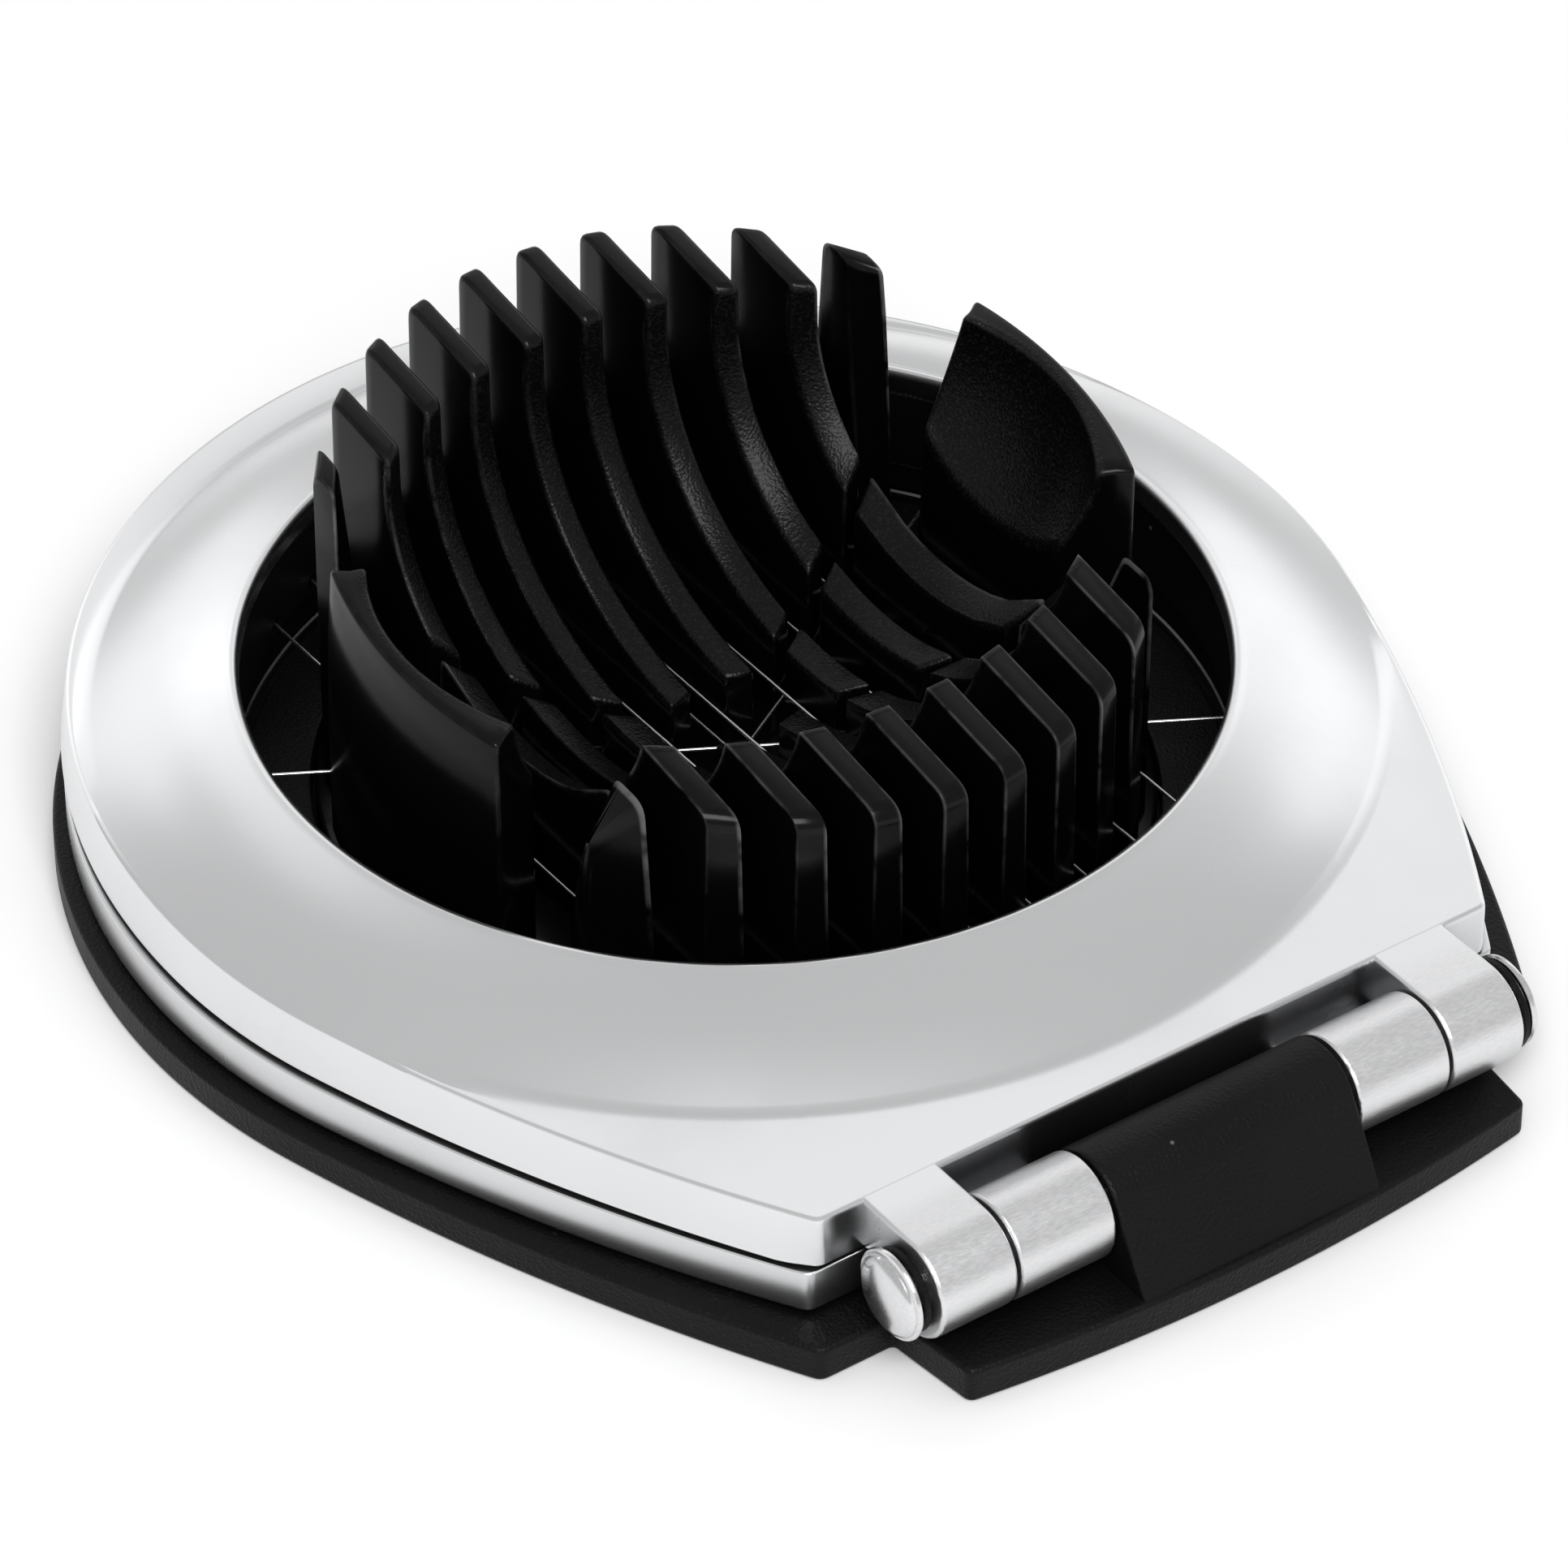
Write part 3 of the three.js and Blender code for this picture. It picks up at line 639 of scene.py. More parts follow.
def wallRings(outline, bottom, top, bottomEdge, topEdge):
    # an upright wall with a rounded edge at its bottom and its top
    rings = [levelRing(inset(outline, bottomEdge * a), bottom + bottomEdge * b) for a, b in quarterRound]
    return rings + [levelRing(inset(outline, topEdge * a), top - topEdge * b) for a, b in quarterRound[::-1]]


hingeSizes = {
    "radius": 4.15, "boreRadius": 2.3, "pinRadius": 2, "edgeRadius": 0.4, "boreOverrun": 1, "armOverlap": 1.6,
    "baseHalf": 10.8, "lowerStart": 11.1, "lowerEnd": 19.5, "earStart": 19.8, "earEnd": 26.5,
}


def barrelProfile(armLow, armHigh, armEndY, steps=56):
    # flat arm running into a round barrel, as (y, z) points
    radius = hingeSizes["radius"]
    high = armHigh - hingeZ
    low = armLow - hingeZ
    startAngle = 90 if high >= radius - 1e-6 else math.degrees(math.asin(high / radius))
    endAngle = 360 + math.degrees(math.asin(low / radius)) if low > -radius else 270
    arc = arcPoints((hingeY, hingeZ), radius, startAngle, endAngle, steps)
    return [(armEndY, hingeZ + high)] + arc + [(armEndY, hingeZ + low)]


def cutBore(piece, reach):
    end = reach + hingeSizes["boreOverrun"]
    radius = hingeSizes["boreRadius"]
    bore = turnedOnHinge("bore", [(0, -end), (radius, -end), (radius, end), (0, end)], 48)
    combine(piece, bore, "DIFFERENCE")
    resmooth(piece)


def addBarrels(piece, s, armHigh, x0, x1):
    profile = barrelProfile(s["bottom"], armHigh, s["frontY"] + hingeSizes["armOverlap"])
    for a, b in ((x0, x1), (-x1, -x0)):
        combine(piece, sidewaysPiece("barrel", profile, a, b, hingeSizes["edgeRadius"]), "UNION")
    cutBore(piece, x1)


upper = {
    "sideRadius": 49.9, "gripReach": 3.7, "flank": 170, "cornerX": 30.4, "frontY": -53.1,
    "bottom": 7.25, "flatTop": 11.65, "draft": 0.5, "uprightReach": 0.3, "leanReach": 2,
    "edgeRadius": 0.45, "crownLift": 0.1, "footEdge": 0.12, "creaseInset": 0.05, "creaseSoft": 0.5,
    "domeRise": 4.65, "domeCrown": 0.5, "openingRadius": 37.65, "lipWidth": 1,
    "roofOuter": 10.05, "lipUnder": 14.5, "roofInner": 39.65, "innerEdge": 0.15,
    "pocketRadius": 47.8, "pocketEdge": 0.2,
    # across the lip: the share of its width outside the opening, and the drop below the crest
    "lipCurve": [(0.82, -0.09), (0.62, -0.13), (0.42, -0.1), (0.24, 0), (0.1, 0.17), (0.02, 0.4), (0, 0.7)],
}


def domeHeight(radius, s):
    share = (s["sideRadius"] - radius) / (s["sideRadius"] - s["openingRadius"] - s["lipWidth"])
    return s["flatTop"] + s["domeRise"] * share + s["domeCrown"] * math.sin(math.pi * share)


def makeUpperFrame(s):
    outline = frameOutline(s)
    rim, foot, bottom, flatTop = s["edgeRadius"], s["footEdge"], s["bottom"], s["flatTop"]
    flared = []
    for (x, y), (wideX, wideY) in zip(outline, inset(outline, -s["draft"])):
        # the square front stays upright
        lean = min(1, max(0, (y - s["frontY"] - s["uprightReach"]) / s["leanReach"]))
        flared.append((x + (wideX - x) * lean, y + (wideY - y) * lean))
    creaseRadius = s["sideRadius"] - s["creaseInset"]
    shoulder = []
    for x, y in inset(outline, rim):
        reach = math.hypot(x, y)
        shoulder.append((x, y, domeHeight(reach, s) if reach < creaseRadius else flatTop))
    rings = [levelRing(inset(flared, foot), bottom), levelRing(inset(flared, foot * 0.3), bottom + foot * 0.3),
             levelRing(flared, bottom + foot), levelRing(outline, flatTop - rim)]
    for a, b, c in curveShares(4)[1:-1]:
        heightHere = (flatTop - rim) * a + (flatTop + s["crownLift"]) * b
        rings.append([(x * (a + b) + top[0] * c, y * (a + b) + top[1] * c, heightHere + top[2] * c)
                      for (x, y), top in zip(outline, shoulder)])
    rings.append(shoulder)
    domeSteps = 26
    opening, lip = s["openingRadius"], s["lipWidth"]
    for i in range(domeSteps + 1):
        ring = []
        for x, y, z in shoulder:
            reach = math.hypot(x, y)
            start = min(creaseRadius - s["creaseSoft"], reach - 0.04)
            radius = start + (opening + lip - start) * (i - 1) / (domeSteps - 1)
            if i == 0:
                radius = min(creaseRadius + s["creaseSoft"], reach - 0.02)
            height = flatTop if radius > creaseRadius else domeHeight(radius, s)
            ring.append((x * radius / reach, y * radius / reach, height))
        rings.append(ring)
    crest = flatTop + s["domeRise"]
    inner, edge, pocket = s["innerEdge"], s["pocketEdge"], s["pocketRadius"]
    rings += circleRings(outline, [(opening + lip * out, crest - drop) for out, drop in s["lipCurve"]] + [
        (opening, s["lipUnder"] + inner), (opening + inner, s["lipUnder"]), (s["roofInner"], s["lipUnder"]),
        (pocket - 0.3, s["roofOuter"] + inner), (pocket, s["roofOuter"] - edge),
        (pocket, bottom + edge), (pocket + edge, bottom)])
    piece = skinPiece("upperFrame", rings)
    addBarrels(piece, s, flatTop, hingeSizes["earStart"], hingeSizes["earEnd"])
    finishPiece(piece, polishedMetal, "slice_frame", "upper_frame")


lower = {
    "sideRadius": 50.9, "gripReach": 1.6, "flank": 170, "cornerX": 31.2, "frontY": -53.1,
    "bottom": 3.3, "top": 6.95, "floor": 4, "openingRadius": 38.6, "pocketRadius": 47.8,
    "edgeRadius": 0.35, "topEdge": 0.16, "innerEdge": 0.15, "pocketEdge": 0.2,
}


def makeLowerFrame(s):
    outline = frameOutline(s)
    bottom, top, floor = s["bottom"], s["top"], s["floor"]
    opening, pocket, inner, edge = s["openingRadius"], s["pocketRadius"], s["innerEdge"], s["pocketEdge"]
    rings = wallRings(outline, bottom, top, s["edgeRadius"], s["topEdge"])
    rings += circleRings(outline, [
        (pocket + edge, top), (pocket, top - edge), (pocket, floor), (opening + inner, floor),
        (opening, floor - inner), (opening, bottom + inner), (opening + inner, bottom)])
    piece = skinPiece("lowerFrame", rings)
    addBarrels(piece, s, top, hingeSizes["lowerStart"], hingeSizes["lowerEnd"])
    finishPiece(piece, polishedMetal, "wedge_frame", "lower_frame")


makeUpperFrame(upper)
makeLowerFrame(lower)
print("frames made")

base = {
    "sideRadius": 52.4, "flank": 190, "cornerX": 32.6, "cornerY": -56.6, "thickness": 3,
    "tabRootX": 26.3, "tabTipX": 25.4, "tabTipY": -64.5, "tabBulge": 2, "edgeRadius": 0.4,
    "seatRadius": 38, "seatTop": 3.5, "recessFloor": 1, "recessGap": 0.3, "capRadius": 20,
    "cornerRadius": 0.7, "tabRootRadius": 0.4, "knuckleInset": 0.3, "knuckleRoot": 1, "knuckleEdge": 0.35,
    # across the seat's edge: the distance outside the seat, and the share of its height
    "seatCurve": [(0.55, 0), (0.3, 0.08), (0.1, 0.32), (0, 0.64), (-0.08, 0.84), (-0.25, 1)],
}


def tabFrontAt(x, s):
    return s["tabTipY"] - s["tabBulge"] * (1 - (x / s["tabTipX"]) ** 2)


def baseOutline(s):
    half = rightHalf(s["sideRadius"], 0, s["flank"], s["cornerX"], s["cornerY"])
    corner = half.pop()
    root = (s["tabRootX"], s["cornerY"])
    tip = (s["tabTipX"], s["tabTipY"])
    half += roundCorner(half[-1], corner, root, s["cornerRadius"])
    half += pointsBetween(corner, root, 5)
    half += roundCorner(corner, root, tip, s["tabRootRadius"], 4)
    half += pointsBetween(root, tip, 5)
    half += roundCorner(root, tip, (s["tabTipX"] - 3, tabFrontAt(s["tabTipX"] - 3, s)), s["cornerRadius"])
    startX = half[-1][0]
    frontSteps = 24
    for i in range(1, frontSteps + 1):
        x = startX * (1 - i / frontSteps)
        half.append((x, tabFrontAt(x, s)))
    return mirrorHalf(half)


def baseKnuckleProfile(s):
    radius = hingeSizes["radius"]
    footFront = tabFrontAt(hingeSizes["baseHalf"], s) + s["knuckleInset"]
    run = hingeY - footFront
    drop = hingeZ - s["thickness"]
    reach = math.hypot(run, drop)
    touch = 180 + math.degrees(math.atan2(drop, run) - math.acos(radius / reach))
    bottom = s["thickness"] - s["knuckleRoot"]
    return [(hingeY + radius, bottom)] + arcPoints((hingeY, hingeZ), radius, 0, touch, 40) + [
        (footFront, s["thickness"]), (footFront, bottom)]


def makeBasePlate(s):
    outline = baseOutline(s)
    top, seat, seatTop = s["thickness"], s["seatRadius"], s["seatTop"]
    rings = circleRings(outline, [(s["capRadius"], 0)])
    rings += wallRings(outline, 0, top, s["edgeRadius"], s["edgeRadius"])
    rings += circleRings(outline, [(seat + out, top + share * (seatTop - top)) for out, share in s["seatCurve"]])
    recessX = cradle["footX"] + s["recessGap"]
    recessY = cradle["footY"] + s["recessGap"]
    for out, down in ((0.3, 0), (0.09, 0.09), (0, 0.3), (0, seatTop - s["recessFloor"])):
        rings.append(ellipseRing(outline, recessX + out, recessY + out, seatTop - down))
    rings += circleRings(outline, [(s["capRadius"], s["recessFloor"])])
    bm = bmesh.new()
    addClosed(bm, rings)
    piece = newObject("basePlate", bm)
    half = hingeSizes["baseHalf"]
    combine(piece, sidewaysPiece("knuckle", baseKnuckleProfile(s), -half, half, s["knuckleEdge"]), "UNION")
    cutBore(piece, half)
    finishPiece(piece, satinBlack, "base", "base_plate")


makeBasePlate(base)
print("base made")


def topAt(y, s):
    return s["topMiddle"] + s["topSlope"] * y


def hollowZ(x, y, s):
    # height of the egg-shaped hollow; above its rim there is no limit
    room = 1 - (x / s["bowlRadiusX"]) ** 2 - (y / s["bowlRadiusY"]) ** 2
    return s["topMiddle"] - s["bowlDepth"] * math.sqrt(room) if room > 0 else 1e3


def wirePathY(x, direction, z, s):
    restY = direction * abs(x) * math.tan(math.radians(s["wireAngle"]))
    radius = math.hypot(restY - hingeY, s["wireZ"] - hingeZ)
    return hingeY + math.sqrt(radius ** 2 - (z - hingeZ) ** 2)


def outlineY(x, s):
    return s["outlineY"] * math.sqrt(max(0.0, 1 - (x / s["outlineX"]) ** 2))


def halfWidthAt(z, s, root="rootWidth"):
    share = (z - s["footTop"]) / (topAt(s["outlineY"], s) - s["footTop"])
    return (s[root] + (s["topWidth"] - s[root]) * share) / 2


def surfacePoint(x, y, side, s):
    # top of a fin beside its side face, with the face's own x at that height
    z = s["topMiddle"]
    for _ in range(12):
        faceX = x + side * halfWidthAt(z, s)
        z = min(topAt(y, s), hollowZ(faceX, y, s))
    return faceX, y, z


def flankPoint(x, side, edgeY, s):
    # where a flank that leans with the wire's path meets the top of the fin
    z = s["footTop"] + 3
    for _ in range(25):
        faceX = x + side * halfWidthAt(z, s)
        y = edgeY(faceX, z)
        z = 0.5 * z + 0.5 * min(topAt(y, s), hollowZ(faceX, y, s))
    return faceX, edgeY(faceX, z), z


def curveCorner(before, corner, after, radius, steps=5):
    # points of a curve that takes off one corner of a face's outline
    pivot = Vector(corner)
    back = Vector(before) - pivot
    ahead = Vector(after) - pivot
    start = pivot + back.normalized() * min(radius, back.length * 0.9)
    end = pivot + ahead.normalized() * min(radius, ahead.length * 0.45)
    return [tuple(start * a + pivot * b + end * c) for a, b, c in curveShares(steps)]


def finSide(x, side, direction, edgeY, s):
    # outline of one face of a front or rear fin, from the slot flank over the top to the outer end
    low = s["footTop"] - s["rootDepth"]
    footX = x + side * halfWidthAt(low, s)
    flank = flankPoint(x, side, edgeY, s)
    endY = direction * outlineY(x + side * s["topWidth"] / 2, s)
    rimY = flank[1]
    steps = 400
    for i in range(steps + 1):
        y = flank[1] + (endY - flank[1]) * i / steps
        if hollowZ(surfacePoint(x, y, side, s)[0], y, s) >= topAt(y, s):
            break
        rimY = y
    crest = abs(endY - rimY)
    rimRadius = min(s["rimRadius"], crest * 0.35)
    tipRadius = min(s["tipRadius"], crest * 0.5)
    points = [(footX, edgeY(footX, low), low)]
    curveSteps = 22
    # even steps of angle give short chords where the hollow is steep
    lastAngle = math.pi / 2 - rimRadius / s["bowlDepth"]
    for i in range(curveSteps + 1):
        y = flank[1] + (rimY - flank[1]) * math.sin(lastAngle * i / curveSteps)
        points.append(surfacePoint(x, y, side, s))
    rimZ = topAt(rimY, s)
    rim = (x + side * halfWidthAt(rimZ, s), rimY, rimZ)
    tip = surfacePoint(x, endY, side, s)
    foot = (footX, direction * outlineY(footX, s), low)
    points += curveCorner(points[-1], rim, tip, rimRadius)
    points += curveCorner(rim, tip, foot, tipRadius)
    return points + [foot]


def slotFlank(s):
    # half of a slot's width, measured along a fin
    return s["slotHalfWidth"] / math.cos(math.radians(s["wireAngle"]))


def addSlab(bm, left, right, s):
    # joins the outlines of a fin's two faces and rounds every edge above its buried root
    part = bmesh.new()
    addClosed(part, [left, right])
    bmesh.ops.remove_doubles(part, verts=part.verts, dist=0.02)
    tidyNormals(part)
    buried = s["footTop"] - s["rootDepth"] + 0.05
    bevelSharp(part, s["edgeRadius"], 40, lambda e: max(e.verts[0].co.z, e.verts[1].co.z) > buried)
    mergePart(bm, part)


def addFin(bm, x, s):
    flank = slotFlank(s)

    def wellY(faceX):
        return math.sqrt(max(0.0, s["wellRadius"] ** 2 - faceX ** 2))

    def edgeOf(direction):
        # outside the slot of the wires and outside the well
        return lambda faceX, z: direction * max(direction * wirePathY(faceX, direction, z, s) + flank, wellY(faceX))

    for direction in (1, -1):
        addSlab(bm, *[finSide(x, side, direction, edgeOf(direction), s) for side in (-1, 1)], s)
    middle = wirePathY(x, 1, s["footTop"], s) - flank
    if middle > wellY(abs(x)) and middle > 1.2:
        addSlab(bm, *[middleSide(x, side, flank, s) for side in (-1, 1)], s)


def middleSide(x, side, flank, s):
    low = s["footTop"] - s["rootDepth"]
    footX = x + side * halfWidthAt(low, s)

    def edgeOf(direction):
        return lambda faceX, z: wirePathY(faceX, direction, z, s) - direction * flank

    start, end = [flankPoint(x, side, edgeOf(direction), s)[1] for direction in (-1, 1)]
    front, rear = [(footX, edgeOf(direction)(footX, low), low) for direction in (-1, 1)]
    steps = 10
    points = [surfacePoint(x, start + (end - start) * i / steps, side, s) for i in range(steps + 1)]
    rounded = curveCorner(front, points[0], points[1], s["rimRadius"])
    rounded += points[2:-2] + curveCorner(points[-2], points[-1], rear, s["rimRadius"])
    return [front] + rounded + [rear]


def postEnds(x, side, direction, z, top, flank, s):
    # where one face of a post starts and ends at this height
    faceX = x + side * halfWidthAt(z, s, "postRootWidth")
    outer = direction * outlineY(faceX, s)
    inner = wirePathY(faceX, direction, z if direction < 0 else s["footTop"], s) + direction * flank
    if direction > 0:
        low = s["footTop"] - s["rootDepth"]
        share = (z - low) / (top - low)
        inner += (outer - s["postTopLength"] - inner) * share
    return faceX, inner, outer


def addPost(bm, x, direction, s):
    # tapered post at the end of an outermost fin, its inner flank cut by the wire's path
    flank = slotFlank(s)
    low = s["footTop"] - s["rootDepth"]
    sides = []
    for side in (-1, 1):
        points = []
        levels = 6
        top = topAt(direction * outlineY(x, s), s)
        ends = postEnds(x, side, direction, top, top, flank, s)
        while (ends[2] - ends[1]) * direction < s["postTopShare"]:
            top -= 0.1
            ends = postEnds(x, side, direction, top, top, flank, s)
        for i in range(levels + 1):
            z = low + (top - low) * i / levels
            faceX, inner, outer = postEnds(x, side, direction, z, top, flank, s)
            points.append((faceX, inner, min(z, topAt(inner, s))))
        inside = points.pop()
        tip = (inside[0], outer, min(top, topAt(outer, s)) if direction < 0 else topAt(outer, s))
        footX = points[0][0]
        foot = (footX, direction * outlineY(footX, s), low)
        points += curveCorner(points[-1], inside, tip, s["rimRadius"])
        points += curveCorner(inside, tip, foot, s["tipRadius"])
        sides.append(points + [foot])
    addSlab(bm, *sides, s)


def addEndWall(bm, side, s):
    # thick wall at one end of the hollow: sections from its front to its leaning rear face
    innerX = s["pitch"] * (s["fins"] - 1) / 2 - s["wallInset"]
    low = s["footTop"] - s["rootDepth"]

    def sectionY(x, z, v):
        front = wirePathY(x, -1, s["wireZ"], s) + s["wallFrontSetback"]
        rear = wirePathY(x, 1, z, s) - s["wallRearSetback"]
        return front + (rear - front) * v

    def onHollow(z, v):
        x = innerX + 1
        for _ in range(30):
            y = sectionY(x, z, v)
            room = 1 - ((s["topMiddle"] - z) / s["bowlDepth"]) ** 2 - (y / s["bowlRadiusY"]) ** 2
            x = 0.5 * x + 0.5 * s["bowlRadiusX"] * math.sqrt(max(room, 0))
        return x

    def onOutline(z, v):
        x = s["outlineX"]
        for _ in range(30):
            y = sectionY(x, z, v)
            x = 0.5 * x + 0.5 * s["outlineX"] * math.sqrt(1 - (y / s["outlineY"]) ** 2)
        return x

    rings = []
    sections = 26
    for i in range(sections + 1):
        v = i / sections
        if 0 < i < sections:
            v = s["wallEndShare"] + (1 - 2 * s["wallEndShare"]) * (i - 1) / (sections - 2)
        footZ = s["topMiddle"] - s["bowlDepth"] * math.sqrt(
            max(0, 1 - (innerX / s["bowlRadiusX"]) ** 2 - (sectionY(innerX, 18, v) / s["bowlRadiusY"]) ** 2))
        ring = [(innerX, sectionY(innerX, low, v), low), (innerX, sectionY(innerX, footZ, v), footZ)]
        topZ = topAt(sectionY(s["outlineX"] - 2, s["topMiddle"], v), s)
        curveSteps = 15
        for k in range(1, curveSteps + 1):
            z = footZ + (topZ - footZ) * k / curveSteps
            x = max(innerX, onHollow(min(z, s["topMiddle"]), v))
            ring.append((x, sectionY(x, z, v), z))
        outerTop = onOutline(topZ, v)
        startX = ring[-1][0]
        for k in range(1, 3):
            x = startX + (outerTop - startX) * k / 2
            ring.append((x, sectionY(x, topZ, v), topAt(sectionY(x, topZ, v), s)))
        for k in range(1, 5):
            z = topZ + (low - topZ) * k / 4
            x = onOutline(z, v)
            ring.append((x, sectionY(x, z, v), z))
        rings.append([(px * side, py, pz) for px, py, pz in ring])
    part = bmesh.new()
    addClosed(part, rings)
    tidyNormals(part)
    bevelSharp(part, s["wallEdgeRadius"], 38, lambda e: max(e.verts[0].co.z, e.verts[1].co.z) > s["footTop"])
    mergePart(bm, part)


def addFoot(bm, s):
    edge = s["footEdge"]
    bottom, top, capInset, segments = s["footBottom"], s["footTop"], -20, 180
    rings = []
    for out, z in [(capInset, bottom), (-edge, bottom), (0, bottom + edge), (0, top - edge),
                   (-edge * 0.3, top - edge * 0.3), (-edge, top), (capInset, top)]:
        angles = [2 * math.pi * i / segments for i in range(segments)]
        rings.append([((s["footX"] + out) * math.cos(a), (s["footY"] + out) * math.sin(a), z) for a in angles])
    part = bmesh.new()
    addClosed(part, rings)
    tidyNormals(part)
    mergePart(bm, part)


def makeEggCradle(s):
    bm = bmesh.new()
    addFoot(bm, s)
    last = s["fins"] - 1
    for index in range(s["fins"]):
        x = (index - last / 2) * s["pitch"]
        if index in (0, last):
            addPost(bm, x, 1, s)
            addPost(bm, x, -1, s)
        else:
            addFin(bm, x, s)
    addEndWall(bm, 1, s)
    addEndWall(bm, -1, s)
    finishPiece(newObject("eggCradle", bm, 34), glossBlack, "base", "egg_cradle")


makeEggCradle(cradle)
print("cradle made")

wireRings = {
    "outer": 45.5, "segments": 160, "edge": 0.2,
    "upperInner": 37.95, "upperWall": 39.35, "upperBottom": 7.35, "upperFlange": 9.6, "upperTop": 14.2,
    "lowerInner": 38.6, "lowerBottom": 4.3, "lowerTop": 6.85,
    "wireRadius": 0.14, "slotHalfWidth": 0.5, "beadRadius": 0.7, "beadLength": 0.9, "beadGap": 0.3,
    "sliceWires": 9, "slicePitch": 5.418, "sliceZ": 8.55, "wedgeZ": (5.2, 5.85, 6.5), "wedgeAngles": (30, 90, 150),
    # along a bead, from its inner to its outer face: radius less the bead's own, and place from that face
    "beadStart": [(-0.2, 0), (-0.05, 0.08), (0, 0.22)], "beadEnd": [(0, -0.25), (-0.08, -0.08), (-0.25, 0)],
}


def chamfered(points, edge):
    # takes the sharp corners off a closed [radius, height] profile
    result = []
    for i, point in enumerate(points):
        corner = Vector(point)
        for neighbour in (points[i - 1], points[(i + 1) % len(points)]):
            result.append(tuple(corner + (Vector(neighbour) - corner).normalized() * edge))
    return result + [result[0]]


def turnAround(x, y, angle):
    turn = math.radians(angle)
    return x * math.cos(turn) - y * math.sin(turn), x * math.sin(turn) + y * math.cos(turn)


def cutSlot(piece, angle, offset, z0, z1, s):
    half = s["slotHalfWidth"]
    reach = s["outer"] + 3
    corners = [turnAround(x, y, angle) for x, y in ((-reach, -half), (reach, -half), (reach, half), (-reach, half))]
    bm = bmesh.new()
    addClosed(bm, [[(x + offset, y, z) for x, y in corners] for z in (z0, z1)])
    combine(piece, newObject("slot", bm), "DIFFERENCE")


def sliceX(index, s):
    return (index - (s["sliceWires"] - 1) / 2) * s["slicePitch"]


def makeWireRing(name, corners, slots, body, node, s):
    # a turned ring with one slot for each wire
    piece = turnedPiece(name, chamfered(corners, s["edge"]), s["segments"])
    for slot in slots:
        cutSlot(piece, *slot, s)
    resmooth(piece)
    finishPiece(piece, satinBlack, body, node)


def makeWireRings(s):
    outer, half = s["outer"], s["slotHalfWidth"]
    inner, wall, bottom, flange, top = [s["upper" + k] for k in ("Inner", "Wall", "Bottom", "Flange", "Top")]
    corners = [(inner, bottom), (outer, bottom), (outer, flange), (wall, flange), (wall, top), (inner, top)]
    slots = [(90, sliceX(i, s), bottom - 1, s["sliceZ"] + half) for i in range(s["sliceWires"])]
    makeWireRing("upperWireRing", corners, slots, "slice_frame", "upper_wire_ring", s)
    inner, bottom, top = s["lowerInner"], s["lowerBottom"], s["lowerTop"]
    corners = [(inner, bottom), (outer, bottom), (outer, top), (inner, top)]
    slots = [(angle, 0, z - half, top + 1) for angle, z in zip(s["wedgeAngles"], s["wedgeZ"])]
    makeWireRing("lowerWireRing", corners, slots, "wedge_frame", "lower_wire_ring", s)


def makeWire(name, halfSpan, angle, offset, z, body, node, s):
    bead, thin, end = s["beadRadius"], s["wireRadius"], halfSpan + s["beadLength"]
    half = [(thin, 0), (thin, halfSpan - 0.05), (thin + 0.08, halfSpan)]
    half += [(bead + out, halfSpan + along) for out, along in s["beadStart"]]
    half += [(bead + out, end + along) for out, along in s["beadEnd"]] + [(0, end)]
    profile = [(r, -a) for r, a in half[:0:-1]] + half
    bm = bmesh.new()
    lathe(bm, profile, 16, "X")
    for vert in bm.verts:
        x, y = turnAround(vert.co.x, vert.co.y, angle)
        vert.co = (x + offset, y, vert.co.z + z)
    finishPiece(newObject(name, bm, 40), wireSteel, body, node)


def makeWires(s):
    for i in range(s["sliceWires"]):
        x = sliceX(i, s)
        near = max(abs(x) - s["beadRadius"], 0)
        halfSpan = math.sqrt(s["outer"] ** 2 - near ** 2) + s["beadGap"]
        makeWire(f"slicingWire{i + 1}", halfSpan, 90, x, s["sliceZ"], "slice_frame", f"slicing_wire_{i + 1}", s)
    for i, (angle, z) in enumerate(zip(s["wedgeAngles"], s["wedgeZ"])):
        makeWire(f"wedgeWire{i + 1}", s["outer"] + s["beadGap"], angle, 0, z, "wedge_frame", f"wedge_wire_{i + 1}", s)


makeWireRings(wireRings)
makeWires(wireRings)
print("rings and wires made")

pin = {
    "headStart": 27.7, "flangeRadius": 3.6, "flange": 0.5, "domeRadius": 3.1, "dome": 0.98, "shaftEdge": 0.2,
    "socket": 0.9, "washerStart": 26.8, "washerEnd": 27.4, "washerEdge": 0.12, "segments": 64,
}


def headProfile(s):
    start, outer, dome = s["headStart"], s["flangeRadius"], s["domeRadius"]
    face = start + s["flange"]
    points = [(outer - 0.15, start), (outer, start + 0.15), (outer, face - 0.22), (outer - 0.07, face - 0.07),
              (outer - 0.22, face), (dome + 0.12, face), (dome, face + 0.08)]
    steps = 12
    for i in range(1, steps):
        angle = math.pi / 2 * i / steps
        points.append((dome * math.cos(angle), face + s["dome"] * math.sin(angle)))
    return points + [(0, face + s["dome"])]


def makePin(s):
    end = s["headStart"] + s["flange"] - 0.3
    radius, edge = hingeSizes["pinRadius"], s["shaftEdge"]
    shaft = [(0, end), (radius - edge, end), (radius, end - edge), (radius, -s["headStart"])]
    head = [(r, -a) for r, a in headProfile(s)]
    finishPiece(turnedOnHinge("hingePin", shaft + head, s["segments"]), pinMetal, "base", "hinge_pin")


def makeCap(s):
    bore = hingeSizes["boreRadius"]
    depth = s["headStart"] + s["socket"]
    profile = [(0, depth), (bore, depth), (bore, s["headStart"])] + headProfile(s)
    finishPiece(turnedOnHinge("pinCap", profile, s["segments"]), pinMetal, "base", "pin_cap")


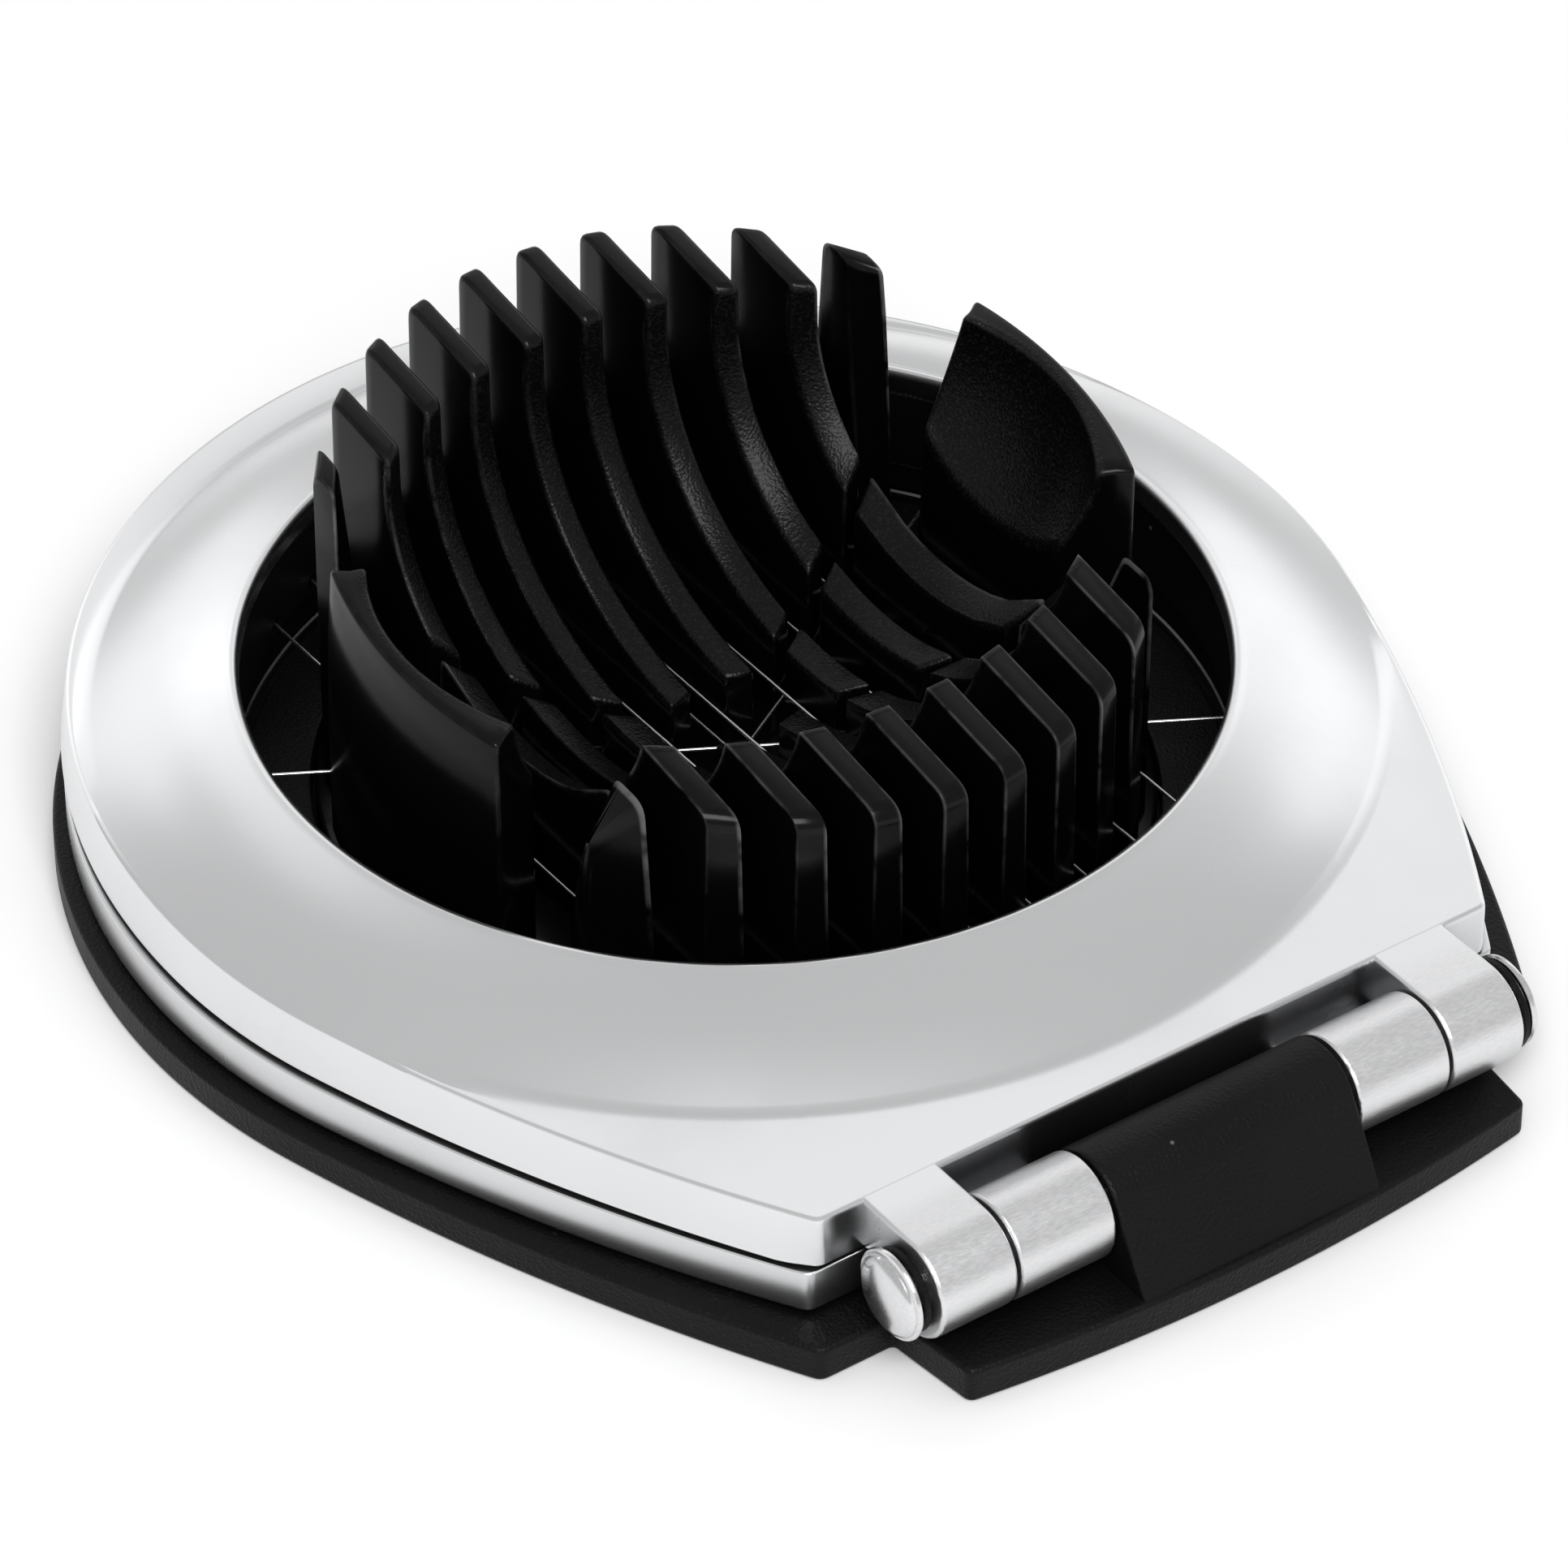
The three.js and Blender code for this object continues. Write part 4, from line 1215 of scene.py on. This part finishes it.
def makeWasher(name, side, radius, node, s):
    inner = hingeSizes["boreRadius"]
    a, b = s["washerStart"] * side, s["washerEnd"] * side
    profile = chamfered([(inner, a), (radius, a), (radius, b), (inner, b)], s["washerEdge"])
    finishPiece(turnedOnHinge(name, profile, s["segments"]), satinBlack, "base", node)


makePin(pin)
makeCap(pin)
makeWasher("hingeWasherLeft", -1, 3.3, "hinge_washer_left", pin)
makeWasher("hingeWasherRight", 1, 3.7, "hinge_washer_right", pin)
print("hinge made")

studio = {
    "floorSize": 6.0, "floorColour": (0.95, 0.95, 0.95), "floorRoughness": 0.6,
    "worldColour": (1, 1, 1), "worldStrength": 0.58,
    # name, place, width, height, watts
    "softboxes": [
        ("rear", (0.42, 0.85, 0.9), 1.0, 0.7, 0.95),
        ("left", (0.05, 1.1, 0.5), 0.6, 0.5, 0.55),
        ("right", (1.0, 0.4, 0.55), 0.7, 0.5, 0.8),
        ("key", (-0.4, -0.8, 1.0), 0.7, 0.7, 12.5),
    ],
}


def addSoftbox(name, place, width, height, watts):
    data = bpy.data.lights.new(name, "AREA")
    data.shape = "RECTANGLE"
    data.size = width
    data.size_y = height
    data.energy = watts
    placeFacing(bpy.data.objects.new(name, data), place, place)


def makeStudio(s):
    world = bpy.data.worlds.new("studio")
    world.use_nodes = True
    background = next(n for n in world.node_tree.nodes if n.type == "BACKGROUND")
    background.inputs["Color"].default_value = (*s["worldColour"], 1)
    background.inputs["Strength"].default_value = s["worldStrength"]
    bpy.context.scene.world = world
    for settings in s["softboxes"]:
        addSoftbox(*settings)
    half = s["floorSize"] / 2 / millimetre
    bm = bmesh.new()
    bm.faces.new([bm.verts.new((x, y, 0)) for x, y in ((-half, -half), (half, -half), (half, half), (-half, half))])
    bmesh.ops.subdivide_edges(bm, edges=bm.edges, cuts=7, use_grid_fill=True)
    floor = newObject("floor", bm)
    material, tree, surface, place = newMaterial("paleFloor")
    tone = mixColour(tree, noise(tree, place, 6, 2), s["floorColour"], [c * 0.985 for c in s["floorColour"]])
    tree.links.new(tone, surface["Base Color"])
    surface["Roughness"].default_value = s["floorRoughness"]
    floor.data.materials.append(material)


makeStudio(studio)
bpy.context.scene.view_settings.view_transform = "Standard"
bpy.context.scene.view_settings.look = "None"
print("studio made")

bpy.context.view_layer.update()
